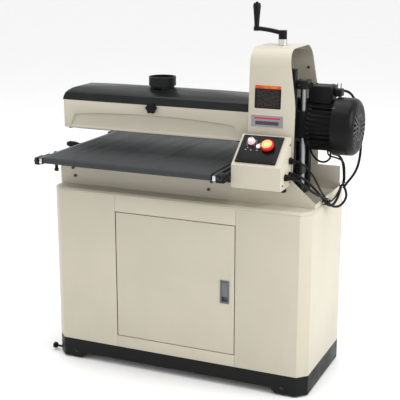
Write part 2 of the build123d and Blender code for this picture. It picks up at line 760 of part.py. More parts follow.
def build_controls():
    tilt = panel_frame()
    plate = tilt * block((244, 386), (12, 130), (0, 6))
    plate = fillet(plate.edges().group_by(Axis.Z)[-1], 1)
    for x, along, radius in control_places():
        plate -= tilt * Pos(x, along, 0) * Cylinder(radius + running, 40)
    pieces["control_panel"] = plate
    base = (Align.CENTER, Align.CENTER, Align.MIN)
    dial, stop_at, start_at = (tilt * Pos(x, along, 0) for x, along, radius in control_places())
    knob = Pos(0, 0, 6.4) * Cylinder(13, 4, align=base) + Pos(0, 0, 10.4) * Cylinder(10.5, 11, align=base)
    knob += Pos(0, 0, 15) * Box(21, 4, 14)
    pieces["speed_knob"] = dial * (knob + Pos(0, 0, -4) * Cylinder(3, 12, align=base))
    cap = Pos(0, 0, 14) * fillet(Cylinder(23, 11, align=base).edges().group_by(Axis.Z)[-1], 5)
    pieces["stop_button"] = stop_at * (cap + Pos(0, 0, -8) * Cylinder(9, 23, align=base))
    cap = Pos(0, 0, 6.2) * Cylinder(7.5, 5, align=base) + Pos(0, 0, -6) * Cylinder(6, 13, align=base)
    pieces["start_button"] = start_at * cap
    glands = []
    for y, z in gland_places():
        nut = Pos(box_right_x, y, z) * Rot(0, 90, 0) * extrude(RegularPolygon(12, 6), 9)
        dome = rod("x", (box_right_x + 9, y, z), 11, 9)
        glands.append(nut + fillet(dome.edges().group_by(Axis.X)[-1], 3))
    knob = rod("z", (396, -192, box_low_z - 16), 16, 11)
    glands.append(fillet(knob.edges().group_by(Axis.Z)[0], 4))
    pieces["cable_glands"] = Compound(glands)


def build_crank():
    z = cover_top_z + 21.5
    arm = rod("z", (screw_x, 0, z), 30, 14.5)
    reach = screw_x - crank_radius
    path = Spline((screw_x - 8, 0, z + 21), (screw_x - 50, 0, z + 29), (reach, 0, z + 33))
    arm += sweep(Plane(origin=path @ 0, z_dir=path % 0) * RectangleRounded(14, 20, 4), path=path)
    arm += rod("z", (reach, 0, z + 25), 15, 11)
    arm -= rod("z", (screw_x, 0, z - 1), cover_top_z + 51 - z, screw_r)
    pieces["crank_arm"] = arm + rod("z", (reach, 0, z + 39), 85, 4.5)
    foot = z + 41
    profile = Polyline((0, 0), (8.5, 0), (8.5, 6)) + Spline((8.5, 6), (11.5, 45), (13.8, 70)) + Polyline((13.8, 70), (11, 79), (0, 79), (0, 0))
    grip = revolve(Plane.XZ * make_face(profile), axis=Axis.Z)
    pieces["crank_grip"] = Pos(reach, 0, foot) * grip - rod("z", (reach, 0, foot - 1), 90, 4.5 + running)


# --- leads and power cord ---------------------------------------------------------------
# Each route is chosen by hand. The lower halves belong to the base and end facing the
# upper halves, which belong to the sanding head and are free to rise and fall past them.
def gland_starts():
    """The points where the thin lead, the power cord and the motor lead leave their glands."""
    return [(box_right_x + 20, y, z) for y, z in gland_places()]


def build_lower_leads():
    control, power, motor = gland_starts()
    thin = [control, (437, -168, 836), (455, -161, 827), (469, -151, 809), (482, -136, 786)]
    thin += [(491, -119, 758), (498, -100, 728), (508.6, -75.3, 698), (515.4, -60.5, 680.4)]
    thin += [(520, -36, 676), (526, -6, 685), (531, 20, 704), (535, 44, 722), (535, 60, 722)]
    main = [motor, (440, -170, 788), (456, -157, 777), (473, -140, 756), (487, -119, 733)]
    main += [(497, -99, 712), (503.8, -80.5, 691.8), (510.6, -65.7, 674.2), (518, -46, 662)]
    main += [(525, -20, 663), (529, 8, 677), (531, 29, 697), (530, 46, 714), (530, 60, 714)]
    pieces["control_leads"] = Compound([cord(thin, 3), cord(main, 4.5)])
    cable = [power, (441, -214, 788), (458, -206, 776), (473, -186, 757), (487, -161, 736)]
    cable += [(499, -132, 718), (507, -106, 708), (513.4, -82.3, 693.9), (520.2, -67.5, 676.3)]
    cable += [(530, -44, 660), (541, -14, 654), (550, 14, 662), (555, 34, 680), (550, 40, 700)]
    cable += [(540, 46, 714), (540, 60, 714)]
    pieces["power_cord_lower"] = cord(cable, 4.5)


def build_upper_leads():
    (mx, my), (jx, jy), (tx, ty) = motor_glands()
    foot = drum_axis_z - motor_gland_drop
    main = [(530, 60, 714), (530, 74, 714), (530, 82, 727), (529, 85, 747), (527, 84, 772)]
    main += [(524, 76, 800), (514, 58, 822), (504, 35, 829), (mx, my, foot - 12), (mx, my, foot)]
    thin = [(535, 60, 722), (535, 69, 722), (535, 75, 732), (534, 76, 750), (534, 72, 776)]
    thin += [(531, 66, 798), (515, 46, 813), (492, 33, 820), (tx, ty, foot - 15), (tx, ty, foot)]
    loop = [(396, 20, 886), (406, 20, 886), (414, 18, 872), (422, 14, 848), (437, 8, 820)]
    loop += [(460, 4, 804), (484, 4, 804), (499, 5, 818), (jx, jy, foot - 15), (jx, jy, foot)]
    pieces["motor_leads_upper"] = Compound([cord(main, 4.5), cord(thin, 3), cord(loop, 3.5)])
    cable = [(540, 60, 714), (540, 74, 714), (545, 83, 723), (556, 90, 738), (568, 98, 760)]
    cable += [(576, 106, 790), (579, 113, 832), (577, 117, 880), (572, 118, 930), (564, 114, 976)]
    cable += [(554, 102, 1014), (542, 82, 1040), (527, 66, 1049), (520, 52, 1049), (520, 34, 1049)]
    pieces["power_cord_upper"] = cord(cable, 4.5)


def build_plug():
    low = drum_axis_z + fan_cover_r + 1
    body = fillet(block((507, 533), (-2, 34), (low, low + 26)).edges(), 4)
    for x in (514, 526):
        body += block((x - 0.8, x + 0.8), (12, 18.5), (low + 20, low + 44))
    return body


def build_ties():
    ties = []
    for centre, along, inner in (((512, -74, 684), (0.28, 0.62, -0.73), 12), ((535, 53, 717), (0, 1, 0), 11)):
        place = Plane(origin=centre, x_dir=(1, 0, 0.3), z_dir=along)
        band = Cylinder(inner + 1.4, 5) - Cylinder(inner, 6)
        ties.append(place * (band + Pos(inner + 3, 0, 0) * Box(5, 6, 7)))
    return Compound(ties)


# --- assembly ---------------------------------------------------------------------------
pieces["plinth"] = build_plinth()
pieces["levelling_feet"] = build_feet()
pieces["star_knob"] = build_star_knob()
build_cabinet()
pieces["door"] = build_door()
build_hinges()
build_latch()
pieces["machine_base"] = build_base()
pieces["conveyor_bed"] = build_bed()
pieces["conveyor_belt"] = build_belt()
build_rollers()
pieces["takeup_brackets"] = build_takeups()
pieces["bolts"] = build_bolts()
pieces["conveyor_gearmotor"] = build_gearmotor()
pieces["bed_lock_lever"] = build_bed_lever()
pieces["bed_knob"] = build_bed_knob()
pieces["column_frame"] = build_column()
pieces["lead_screw"] = build_screw()
pieces["guide_post"] = build_post()
pieces["post_brackets"] = build_post_brackets()
pieces["head_carriage"] = build_carriage()
build_head()
build_drum()
build_pressure_rollers()
pieces["dust_hood"] = build_hood()
build_lid()
pieces["lid_knob"] = build_lid_knob()
pieces["motor_housing"] = build_motor()
pieces["fan_cover"] = build_fan_cover()
pieces["cooling_fan"] = build_fan()
pieces["terminal_box"] = build_terminal_box()
pieces["column_cover"] = build_cover()
pieces["label_plates"] = build_labels()
pieces["control_box"] = build_control_box()
build_controls()
build_crank()
build_lower_leads()
build_upper_leads()
pieces["power_plug"] = build_plug()
pieces["cable_ties"] = build_ties()

loose = ("power_cord_lower", "power_cord_upper", "power_plug")
extent = Compound([p for name, p in pieces.items() if name not in loose]).bounding_box()
centre = extent.center()
origin = Pos(-centre.X, -centre.Y, 0)
print(f"origin moved by {-centre.X:.4f}, {-centre.Y:.4f}; size {extent.size}; nodes {len(pieces)}")

os.makedirs("parts", exist_ok=True)
for name, piece in pieces.items():
    export_step(origin * piece, f"parts/{name}.step")
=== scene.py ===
"""Finishes, leads and small parts of an open-ended drum sander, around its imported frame.

Metres, +Z up, -Y to the infeed side, +X to the motor end. Places inside the machine are given
in millimetres from the cabinet's centre line at floor level, and `at` turns them into metres.
"""

import json
import logging
import math
from dataclasses import dataclass
from enum import Enum

import bmesh
import bpy
from mathutils import Matrix, Vector


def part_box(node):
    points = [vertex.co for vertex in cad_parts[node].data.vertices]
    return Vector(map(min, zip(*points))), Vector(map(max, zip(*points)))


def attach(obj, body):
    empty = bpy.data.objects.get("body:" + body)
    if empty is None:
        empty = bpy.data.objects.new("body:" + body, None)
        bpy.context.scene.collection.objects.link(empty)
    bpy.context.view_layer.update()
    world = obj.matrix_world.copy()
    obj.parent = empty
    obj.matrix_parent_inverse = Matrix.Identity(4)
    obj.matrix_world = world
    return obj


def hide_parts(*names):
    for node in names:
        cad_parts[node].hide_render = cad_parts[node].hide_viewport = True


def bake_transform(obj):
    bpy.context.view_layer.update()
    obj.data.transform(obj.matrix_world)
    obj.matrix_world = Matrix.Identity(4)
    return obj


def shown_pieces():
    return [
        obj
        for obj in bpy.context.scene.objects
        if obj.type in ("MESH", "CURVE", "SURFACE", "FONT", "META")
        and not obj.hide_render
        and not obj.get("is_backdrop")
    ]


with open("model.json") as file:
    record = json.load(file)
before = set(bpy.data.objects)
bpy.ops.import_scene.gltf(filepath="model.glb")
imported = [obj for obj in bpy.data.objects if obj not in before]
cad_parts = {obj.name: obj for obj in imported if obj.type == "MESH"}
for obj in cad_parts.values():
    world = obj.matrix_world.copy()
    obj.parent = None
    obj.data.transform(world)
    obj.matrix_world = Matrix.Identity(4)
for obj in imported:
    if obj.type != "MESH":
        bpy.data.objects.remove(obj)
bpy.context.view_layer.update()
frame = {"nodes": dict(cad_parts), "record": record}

LOG = logging.getLogger("drum_sander")
MM = 0.001
DIAL_PLACE = (280, 97)
STOP_PLACE = (342, 80)
PANEL_SLOPE = math.radians(38.5)
PANEL_LIP = (-260, 828)
PANEL_FACE = 6.0
DRUM_AXIS = 936.0

_low, _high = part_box("cabinet_top")
HOME = Vector(((_low.x + _high.x) / 2, (_low.y + _high.y) / 2, 0.0))


def at(x: float, y: float, z: float) -> Vector:
    """A point given in millimetres from the cabinet's centre line, in metres."""
    return HOME + Vector((x, y, z)) * MM


def on_panel(x: float, along: float, out: float) -> Vector:
    """A point on the sloped control panel.

    Args:
        x: place across the machine, in millimetres.
        along: distance up the slope from the box's front lip, in millimetres.
        out: height above the slope, in millimetres.

    Returns:
        The point in metres.
    """
    run, rise = math.cos(PANEL_SLOPE), math.sin(PANEL_SLOPE)
    lip_y, lip_z = PANEL_LIP
    return at(x, lip_y + along * run - out * rise, lip_z + along * rise + out * run)


# --- shader maths -----------------------------------------------------------------------
class Sock:
    """A node's output, so that shader maths is written as Python expressions."""

    def __init__(self, shader: "Shader", socket: bpy.types.NodeSocket) -> None:
        """Keeps the shader that owns the socket and the socket itself."""
        self.shader = shader
        self.socket = socket

    def maths(self, operation: str, *others: "Sock | float") -> "Sock":
        """Adds a Math node.

        Args:
            operation: the Math node's operation.
            others: the operands after this one.

        Returns:
            The node's output.
        """
        values = dict(enumerate((self, *others)))
        return self.shader.node("ShaderNodeMath", {"operation": operation}, values)

    def __add__(self, other: "Sock | float") -> "Sock":
        """self + other."""
        return self.maths("ADD", other)

    def __radd__(self, other: float) -> "Sock":
        """other + self."""
        return self.maths("ADD", other)

    def __sub__(self, other: "Sock | float") -> "Sock":
        """self - other."""
        return self.maths("SUBTRACT", other)

    def __rsub__(self, other: float) -> "Sock":
        """other - self, so that 1 - mask works."""
        return (self * -1.0) + other

    def __mul__(self, other: "Sock | float") -> "Sock":
        """self * other."""
        return self.maths("MULTIPLY", other)

    def __rmul__(self, other: float) -> "Sock":
        """other * self."""
        return self.maths("MULTIPLY", other)

    def __truediv__(self, other: "Sock | float") -> "Sock":
        """self / other."""
        return self.maths("DIVIDE", other)

    def __gt__(self, other: "Sock | float") -> "Sock":
        """1 where self is above other, else 0."""
        return self.maths("GREATER_THAN", other)

    def __lt__(self, other: "Sock | float") -> "Sock":
        """1 where self is below other, else 0."""
        return self.maths("LESS_THAN", other)

    def between(self, low: float, high: float) -> "Sock":
        """1 where self is from low to high, else 0."""
        return (self > low) * (self < high)

    def ramp(self, low: float, high: float) -> "Sock":
        """0 at low, 1 at high, smooth and clamped between them."""
        settings = {"interpolation_type": "SMOOTHSTEP", "clamp": True}
        values = {"Value": self, "From Min": low, "From Max": high, "To Min": 0.0, "To Max": 1.0}
        return self.shader.node("ShaderNodeMapRange", settings, values)


class Shader:
    """One material under construction: a Principled surface and whatever feeds it."""

    def __init__(self, name: str, **surface: float | tuple) -> None:
        """Starts a material.

        Args:
            name: the material's name.
            surface: values of the Principled shader's own sockets, with _ for a space.
        """
        self.material = bpy.data.materials.new(name)
        self.material.use_nodes = True
        self.tree = self.material.node_tree
        self.surface = self.tree.nodes["Principled BSDF"]
        for key, value in surface.items():
            self.surface.inputs[key.replace("_", " ")].default_value = value
        self.place = self.node("ShaderNodeTexCoord", output="Object")

    def node(
        self,
        kind: str,
        settings: dict | None = None,
        sockets: dict | None = None,
        output: int | str = 0,
    ) -> Sock:
        """Adds any node.

        Args:
            kind: the node's type.
            settings: properties, which are set first.
            sockets: values or links of its inputs, by name or number.
            output: which output is returned.

        Returns:
            The chosen output.
        """
        made = self.tree.nodes.new(kind)
        for key, value in (settings or {}).items():
            setattr(made, key, value)
        for key, value in (sockets or {}).items():
            if isinstance(value, Sock):
                self.tree.links.new(value.socket, made.inputs[key])
            else:
                made.inputs[key].default_value = value
        return Sock(self, made.outputs[output])

    def axes(self, place: Sock | None = None) -> tuple[Sock, Sock, Sock]:
        """X, Y and Z of a vector, or of the Object coordinates, in metres, where none is given."""
        split = self.node("ShaderNodeSeparateXYZ", None, {"Vector": place or self.place})
        return tuple(Sock(self, output) for output in split.socket.node.outputs)

    def around(
        self, centre: Vector, turn: tuple[float, float, float] = (0, 0, 0)
    ) -> tuple[Sock, Sock, Sock]:
        """X, Y and Z of the Object coordinates measured from a centre, along turned axes."""
        values = {"Vector": self.place, "Location": tuple(centre), "Rotation": turn}
        return self.axes(self.node("ShaderNodeMapping", {"vector_type": "TEXTURE"}, values))

    def stretched(self, place: Sock, scale: tuple[float, float, float]) -> Sock:
        """Coordinates scaled along each axis."""
        return self.node("ShaderNodeVectorMath", {"operation": "MULTIPLY"}, {0: place, 1: scale})

    def streaks(self, scale: tuple[float, float, float], detail: float) -> Sock:
        """Noise from 0 to 1, drawn out along the axes of smaller scale."""
        return self.noise(1.0, detail, self.stretched(self.place, scale))

    def on_sheet(self, scale: tuple[float, float, float]) -> tuple[Sock, Sock, Sock]:
        """U and V of the piece's own map, and noise at a scale on it."""
        uv = self.node("ShaderNodeUVMap", {"uv_map": "sheet"})
        u, v, _ = self.axes(uv)
        return u, v, self.noise(1.0, 3.0, self.stretched(uv, scale))

    def noise(self, scale: float, detail: float = 2.0, place: Sock | None = None) -> Sock:
        """Noise from 0 to 1, with its scale in waves per metre."""
        values = {"Vector": place or self.place, "Scale": scale, "Detail": detail}
        return self.node("ShaderNodeTexNoise", None, values)

    def grains(self, scale: float) -> Sock:
        """Distance to the nearest of many scattered points."""
        return self.node("ShaderNodeTexVoronoi", None, {"Vector": self.place, "Scale": scale})

    def mix(self, factor: Sock, first: Sock | tuple, second: Sock | tuple) -> Sock:
        """Mixes two colours.

        Args:
            factor: 0 for the first, 1 for the second.
            first: the first colour, a socket or three numbers.
            second: the second colour.

        Returns:
            The mixed colour.
        """
        first, second = (c if isinstance(c, Sock) else (*c, 1.0) for c in (first, second))
        return self.node("ShaderNodeMix", {"data_type": "RGBA"}, {0: factor, 6: first, 7: second}, 2)

    def feed(self, name: str, value: Sock) -> None:
        """Links a socket of the surface."""
        self.tree.links.new(value.socket, self.surface.inputs[name])

    def bump(self, height: Sock, depth: float) -> None:
        """Feeds Normal from a height whose full range is that deep, in metres."""
        values = {"Height": height, "Distance": depth, "Strength": 1.0}
        self.feed("Normal", self.node("ShaderNodeBump", None, values))


# --- finishes ---------------------------------------------------------------------------
Colour = tuple[float, float, float]
DARK, DARK_SPECULAR, PALE_SPECULAR = 0.06, 0.12, 0.3


@dataclass(frozen=True)
class Finish:
    """A surface finish. Each kind adds its own detail in `dress`."""

    name: str
    colour: Colour
    roughness: float = 0.5

    def material(self) -> bpy.types.Material:
        """The finish's material, made once. Dark finishes get less specular than light ones."""
        made = bpy.data.materials.get(self.name)
        if made is None:
            shader = Shader(self.name, Base_Color=(*self.colour, 1.0), Roughness=self.roughness)
            level = DARK_SPECULAR if max(self.colour) < DARK else PALE_SPECULAR
            shader.surface.inputs["Specular IOR Level"].default_value = level
            self.dress(shader)
            made = shader.material
        return made

    def dress(self, shader: Shader) -> None:
        """Adds the finish's detail to a started shader."""
        raise NotImplementedError

    def tinted(self, shader: Shader, factor: Sock, change: float) -> Sock:
        """The finish's colour, made darker or lighter by up to a share where factor is 1."""
        other = tuple(min(1.0, c * (1 + change)) for c in self.colour)
        return shader.mix(factor, self.colour, other)


@dataclass(frozen=True)
class PowderCoat(Finish):
    """Baked powder paint on sheet steel: orange peel, faint handling marks and floor dust."""

    peel: float = 0.00006
    dust: float = 0.10

    def dress(self, shader: Shader) -> None:
        """Adds peel, soft cloudy tone, rub marks and dust towards the floor."""
        cloud = shader.noise(5.0, 3.0).ramp(0.35, 0.7)
        rubs = shader.noise(38.0, 6.0).ramp(0.58, 0.72)
        streak = shader.streaks((60, 60, 4), 4.0).ramp(0.52, 0.75)
        low = 1 - shader.axes()[2].ramp(0.02, 0.5)
        tone = self.tinted(shader, cloud, -0.035)
        soil = (low * 0.5 + 0.25) * (streak * self.dust + rubs * self.dust)
        shader.feed("Base Color", shader.mix(soil, tone, tuple(c * 0.62 for c in self.colour)))
        uneven = shader.noise(55.0, 5.0)
        shader.feed("Roughness", uneven * 0.12 + rubs * 0.06 + (self.roughness - 0.06))
        peel = shader.noise(420.0, 2.0) + shader.noise(1500.0, 1.0) * 0.35
        shader.bump(peel, self.peel)


@dataclass(frozen=True)
class Enamel(Finish):
    """Satin enamel on steel or castings."""

    texture: float = 0.00005
    grain: float = 620.0
    wear: float = 0.35

    def dress(self, shader: Shader) -> None:
        """Adds a fine pebble, dull patches and a trace of dust."""
        pebble = shader.noise(self.grain, 3.0)
        dull = shader.noise(24.0, 5.0).ramp(0.45, 0.72)
        dust = shader.noise(160.0, 8.0).ramp(0.62, 0.8) * dull
        grey = tuple(c * 0.8 + 0.012 for c in self.colour)
        shader.feed("Base Color", shader.mix(dust * self.wear, self.colour, grey))
        shader.feed("Roughness", dull * 0.14 + pebble * 0.06 + (self.roughness - 0.1))
        shader.bump(pebble, self.texture)


@dataclass(frozen=True)
class CastIron(Finish):
    """Painted sand casting."""

    def dress(self, shader: Shader) -> None:
        """Adds the sand texture and thin, worn paint on its peaks."""
        sand = shader.noise(260.0, 5.0)
        pits = shader.grains(340.0).ramp(0.0, 0.35)
        worn = sand.ramp(0.62, 0.75) * shader.noise(18.0, 3.0).ramp(0.5, 0.7)
        bare = tuple(c + 0.06 for c in self.colour)
        shader.feed("Base Color", shader.mix(worn, self.colour, bare))
        shader.feed("Roughness", sand * 0.2 + (self.roughness - 0.1))
        shader.bump(sand + pits * 0.4, 0.0003)


@dataclass(frozen=True)
class Moulded(Finish):
    """Moulded plastic with a spark-eroded grain."""

    grain: float = 0.00004
    scale: float = 900.0

    def dress(self, shader: Shader) -> None:
        """Adds grain, slight flow marks and finger marks."""
        grain = shader.grains(self.scale).ramp(0.0, 0.7) + shader.noise(self.scale * 1.7, 2.0) * 0.5
        flow = shader.noise(9.0, 4.0).ramp(0.4, 0.7)
        marks = shader.noise(70.0, 6.0).ramp(0.56, 0.7) * flow
        shader.feed("Base Color", self.tinted(shader, flow, 0.22))
        shader.feed("Roughness", marks * 0.12 + flow * 0.06 + (self.roughness - 0.05))
        shader.bump(grain, self.grain)


class Lay(Enum):
    """The direction that a tool left its marks in."""

    ALONG_X = (3.0, 900.0, 900.0)
    ALONG_Y = (900.0, 3.0, 900.0)
    ALONG_Z = (900.0, 900.0, 3.0)


@dataclass(frozen=True)
class Metal(Finish):
    """Bare, plated or turned metal with its tool marks along one direction."""

    lay: Lay = Lay.ALONG_X
    stain: float = 0.25
    depth: float = 0.000012

    def dress(self, shader: Shader) -> None:
        """Adds tool marks, plating clouds and small stains."""
        shader.surface.inputs["Metallic"].default_value = 1.0
        marks = shader.streaks(self.lay.value, 3.0)
        cloud = shader.noise(42.0, 4.0).ramp(0.4, 0.7)
        spots = shader.noise(190.0, 6.0).ramp(0.6, 0.75) * cloud
        dull = tuple(c * 0.55 for c in self.colour)
        shader.feed("Base Color", shader.mix(spots * self.stain + cloud * 0.08, self.colour, dull))
        shader.feed("Roughness", marks * 0.16 + cloud * 0.12 + (self.roughness - 0.12))
        shader.bump(marks, self.depth)


@dataclass(frozen=True)
class Rubber(Finish):
    """Extruded or moulded rubber."""

    def dress(self, shader: Shader) -> None:
        """Adds a soft bloom and a fine matt texture."""
        bloom = shader.noise(60.0, 5.0).ramp(0.45, 0.7)
        skin = shader.noise(1400.0, 2.0)
        shader.feed("Base Color", self.tinted(shader, bloom, 0.5))
        shader.feed("Roughness", bloom * 0.15 + (self.roughness - 0.08))
        shader.bump(skin, 0.00003)


@dataclass(frozen=True)
class GritCloth(Finish):
    """Cloth-backed grit, as on the conveyor's face."""

    grit: float = 1500.0
    weave: float = 0.4
    depth: float = 0.00012

    def dress(self, shader: Shader) -> None:
        """Adds packed grains, the woven backing under them, and rub streaks along the travel."""
        grains = shader.grains(self.grit)
        sparkle = 1 - grains.ramp(0.1, 0.42)
        threads = shader.streaks((700, 90, 700), 2.0)
        streak = shader.streaks((30, 1.6, 1.0), 4.0).ramp(0.4, 0.75)
        patch = shader.noise(11.0, 4.0).ramp(0.4, 0.7)
        tone = self.tinted(shader, sparkle * 0.6 + threads * self.weave, 0.9)
        dusty = tuple(c * 0.8 + 0.035 for c in self.colour)
        shader.feed("Base Color", shader.mix(streak * 0.35 + patch * 0.2, tone, dusty))
        shader.feed("Roughness", streak * 0.14 + sparkle * 0.1 + (self.roughness - 0.1))
        shader.bump(sparkle + threads * 0.5, self.depth)


@dataclass(frozen=True)
class WoundStrip(Finish):
    """The abrasive strip, wound round the drum in a slow spiral with butted edges."""

    width: float = 0.076
    start: float = -151.0

    def dress(self, shader: Shader) -> None:
        """Adds grit and the dark butted edge of each turn."""
        across, depth, height = shader.around(at(self.start, 0, DRUM_AXIS))
        turn = height.maths("ARCTAN2", depth) / (2 * math.pi)
        strip = (across / self.width + turn).maths("FRACT")
        edge = 1 - strip.between(0.012, 0.988)
        grit = shader.grains(2200.0)
        sparkle = 1 - grit.ramp(0.1, 0.4)
        wood = shader.noise(30.0, 5.0).ramp(0.5, 0.75)
        tone = self.tinted(shader, sparkle, 0.5)
        loaded = shader.mix(wood * 0.4, tone, (0.55, 0.40, 0.24))
        shader.feed("Base Color", shader.mix(edge, loaded, (0.05, 0.03, 0.02)))
        shader.feed("Roughness", sparkle * 0.1 + (self.roughness - 0.05))
        shader.bump(sparkle - edge * 1.5, 0.0002)


@dataclass(frozen=True)
class StopCap(Finish):
    """The mushroom stop button: red sides under a pale yellow top face, a printed disc that also
    serves as a painted highlight on the top.
    """

    def dress(self, shader: Shader) -> None:
        """Adds the pale yellow top disc, printed and also a painted highlight, with a thin ring, and
        finger marks.
        """
        x, y, z = shader.around(on_panel(*STOP_PLACE, 0), (PANEL_SLOPE, 0, 0))
        radius = (x * x + y * y).maths("SQRT")
        top = (z > 0.0235) * (radius < 0.0172)
        ring = radius.between(0.0118, 0.0134) * top
        smear = shader.noise(160.0, 5.0).ramp(0.5, 0.7)
        # painted highlight: the pale yellow top face is a printed disc that also stands in for the
        # light caught on the button's top
        face = shader.mix(smear * 0.3, (0.90, 0.62, 0.20), (0.80, 0.45, 0.12))
        red = self.tinted(shader, smear, -0.15)
        print_and_highlight = shader.mix(ring, face, (0.62, 0.05, 0.04))
        shader.feed("Base Color", shader.mix(top, red, print_and_highlight))
        shader.feed("Roughness", smear * 0.1 + (self.roughness - 0.04))
        shader.bump(shader.noise(900.0, 2.0), 0.00002)


@dataclass(frozen=True)
class DialKnob(Finish):
    """The pale speed knob with a red pointer line."""

    def dress(self, shader: Shader) -> None:
        """Adds the pointer and slight shading of the moulding."""
        x, y, z = shader.around(on_panel(*DIAL_PLACE, 0), (PANEL_SLOPE, 0, 0))
        line = x.between(-0.0014, 0.0014) * (y > 0.001) * (z > 0.0175)
        skirt = z < 0.0102
        cloud = shader.noise(120.0, 4.0).ramp(0.45, 0.7)
        body = self.tinted(shader, cloud, -0.1)
        dark = shader.mix(skirt, body, (0.50, 0.10, 0.16))
        shader.feed("Base Color", shader.mix(line, dark, (0.45, 0.02, 0.05)))
        shader.feed("Roughness", cloud * 0.1 + (self.roughness - 0.04))
        shader.bump(shader.noise(1200.0, 2.0), 0.00002)


@dataclass(frozen=True)
class NoticePrint(Finish):
    """A printed vinyl notice: orange header over a black field of faint ruled rows."""

    rows: float = 17.0

    def dress(self, shader: Shader) -> None:
        """Adds the header, the rows and a clear over-laminate, all from the piece's own UV map."""
        u, v, ragged = shader.on_sheet((22.0, 8.5, 1.0))
        header = v > 0.865
        rows = (v * self.rows).maths("FRACT").between(0.38, 0.68)
        body = rows * v.between(0.09, 0.80) * u.between(0.09, 0.91) * ragged.ramp(0.42, 0.5)
        faded = shader.noise(60.0, 2.0).ramp(0.35, 0.65)
        glow = shader.mix(faded, (0.50, 0.075, 0.02), (0.66, 0.17, 0.04))
        field = shader.mix(body * 0.55, (0.014, 0.012, 0.012), (0.11, 0.09, 0.075))
        shader.feed("Base Color", shader.mix(header, field, glow))
        shader.feed("Roughness", shader.noise(90.0, 4.0) * 0.1 + (self.roughness - 0.05))
        shader.bump(shader.noise(500.0, 2.0), 0.00001)


@dataclass(frozen=True)
class BadgePlate(Finish):
    """A brushed silver plate with a red bar and a plain dark band under it."""

    def dress(self, shader: Shader) -> None:
        """Adds the brushing, the bar and the band, all from the piece's own UV map."""
        u, v, brush = shader.on_sheet((6.0, 160.0, 1.0))
        bar = u.between(0.10, 0.90) * v.between(0.66, 0.79)
        rule = u.between(0.14, 0.86) * v.between(0.20, 0.50)
        rim = 1 - u.between(0.012, 0.988) * v.between(0.035, 0.965)
        silver = shader.mix(brush, self.colour, tuple(c * 0.78 for c in self.colour))
        printed = shader.mix(bar, silver, (0.50, 0.015, 0.04))
        printed = shader.mix(rule, printed, (0.05, 0.05, 0.055))
        shader.feed("Base Color", shader.mix(rim * 0.5, printed, (0.75, 0.75, 0.75)))
        shader.feed("Metallic", (1 - bar) * (1 - rule) * 0.75)
        shader.feed("Roughness", brush * 0.18 + (self.roughness - 0.08))
        shader.bump(brush + bar * 2.0, 0.00003)


@dataclass(frozen=True)
class PaleFloor(Finish):
    """The plain pale floor."""

    def dress(self, shader: Shader) -> None:
        """Adds a barely visible mottle."""
        mottle = shader.noise(3.0, 3.0).ramp(0.3, 0.7)
        shader.feed("Base Color", self.tinted(shader, mottle, 0.012))


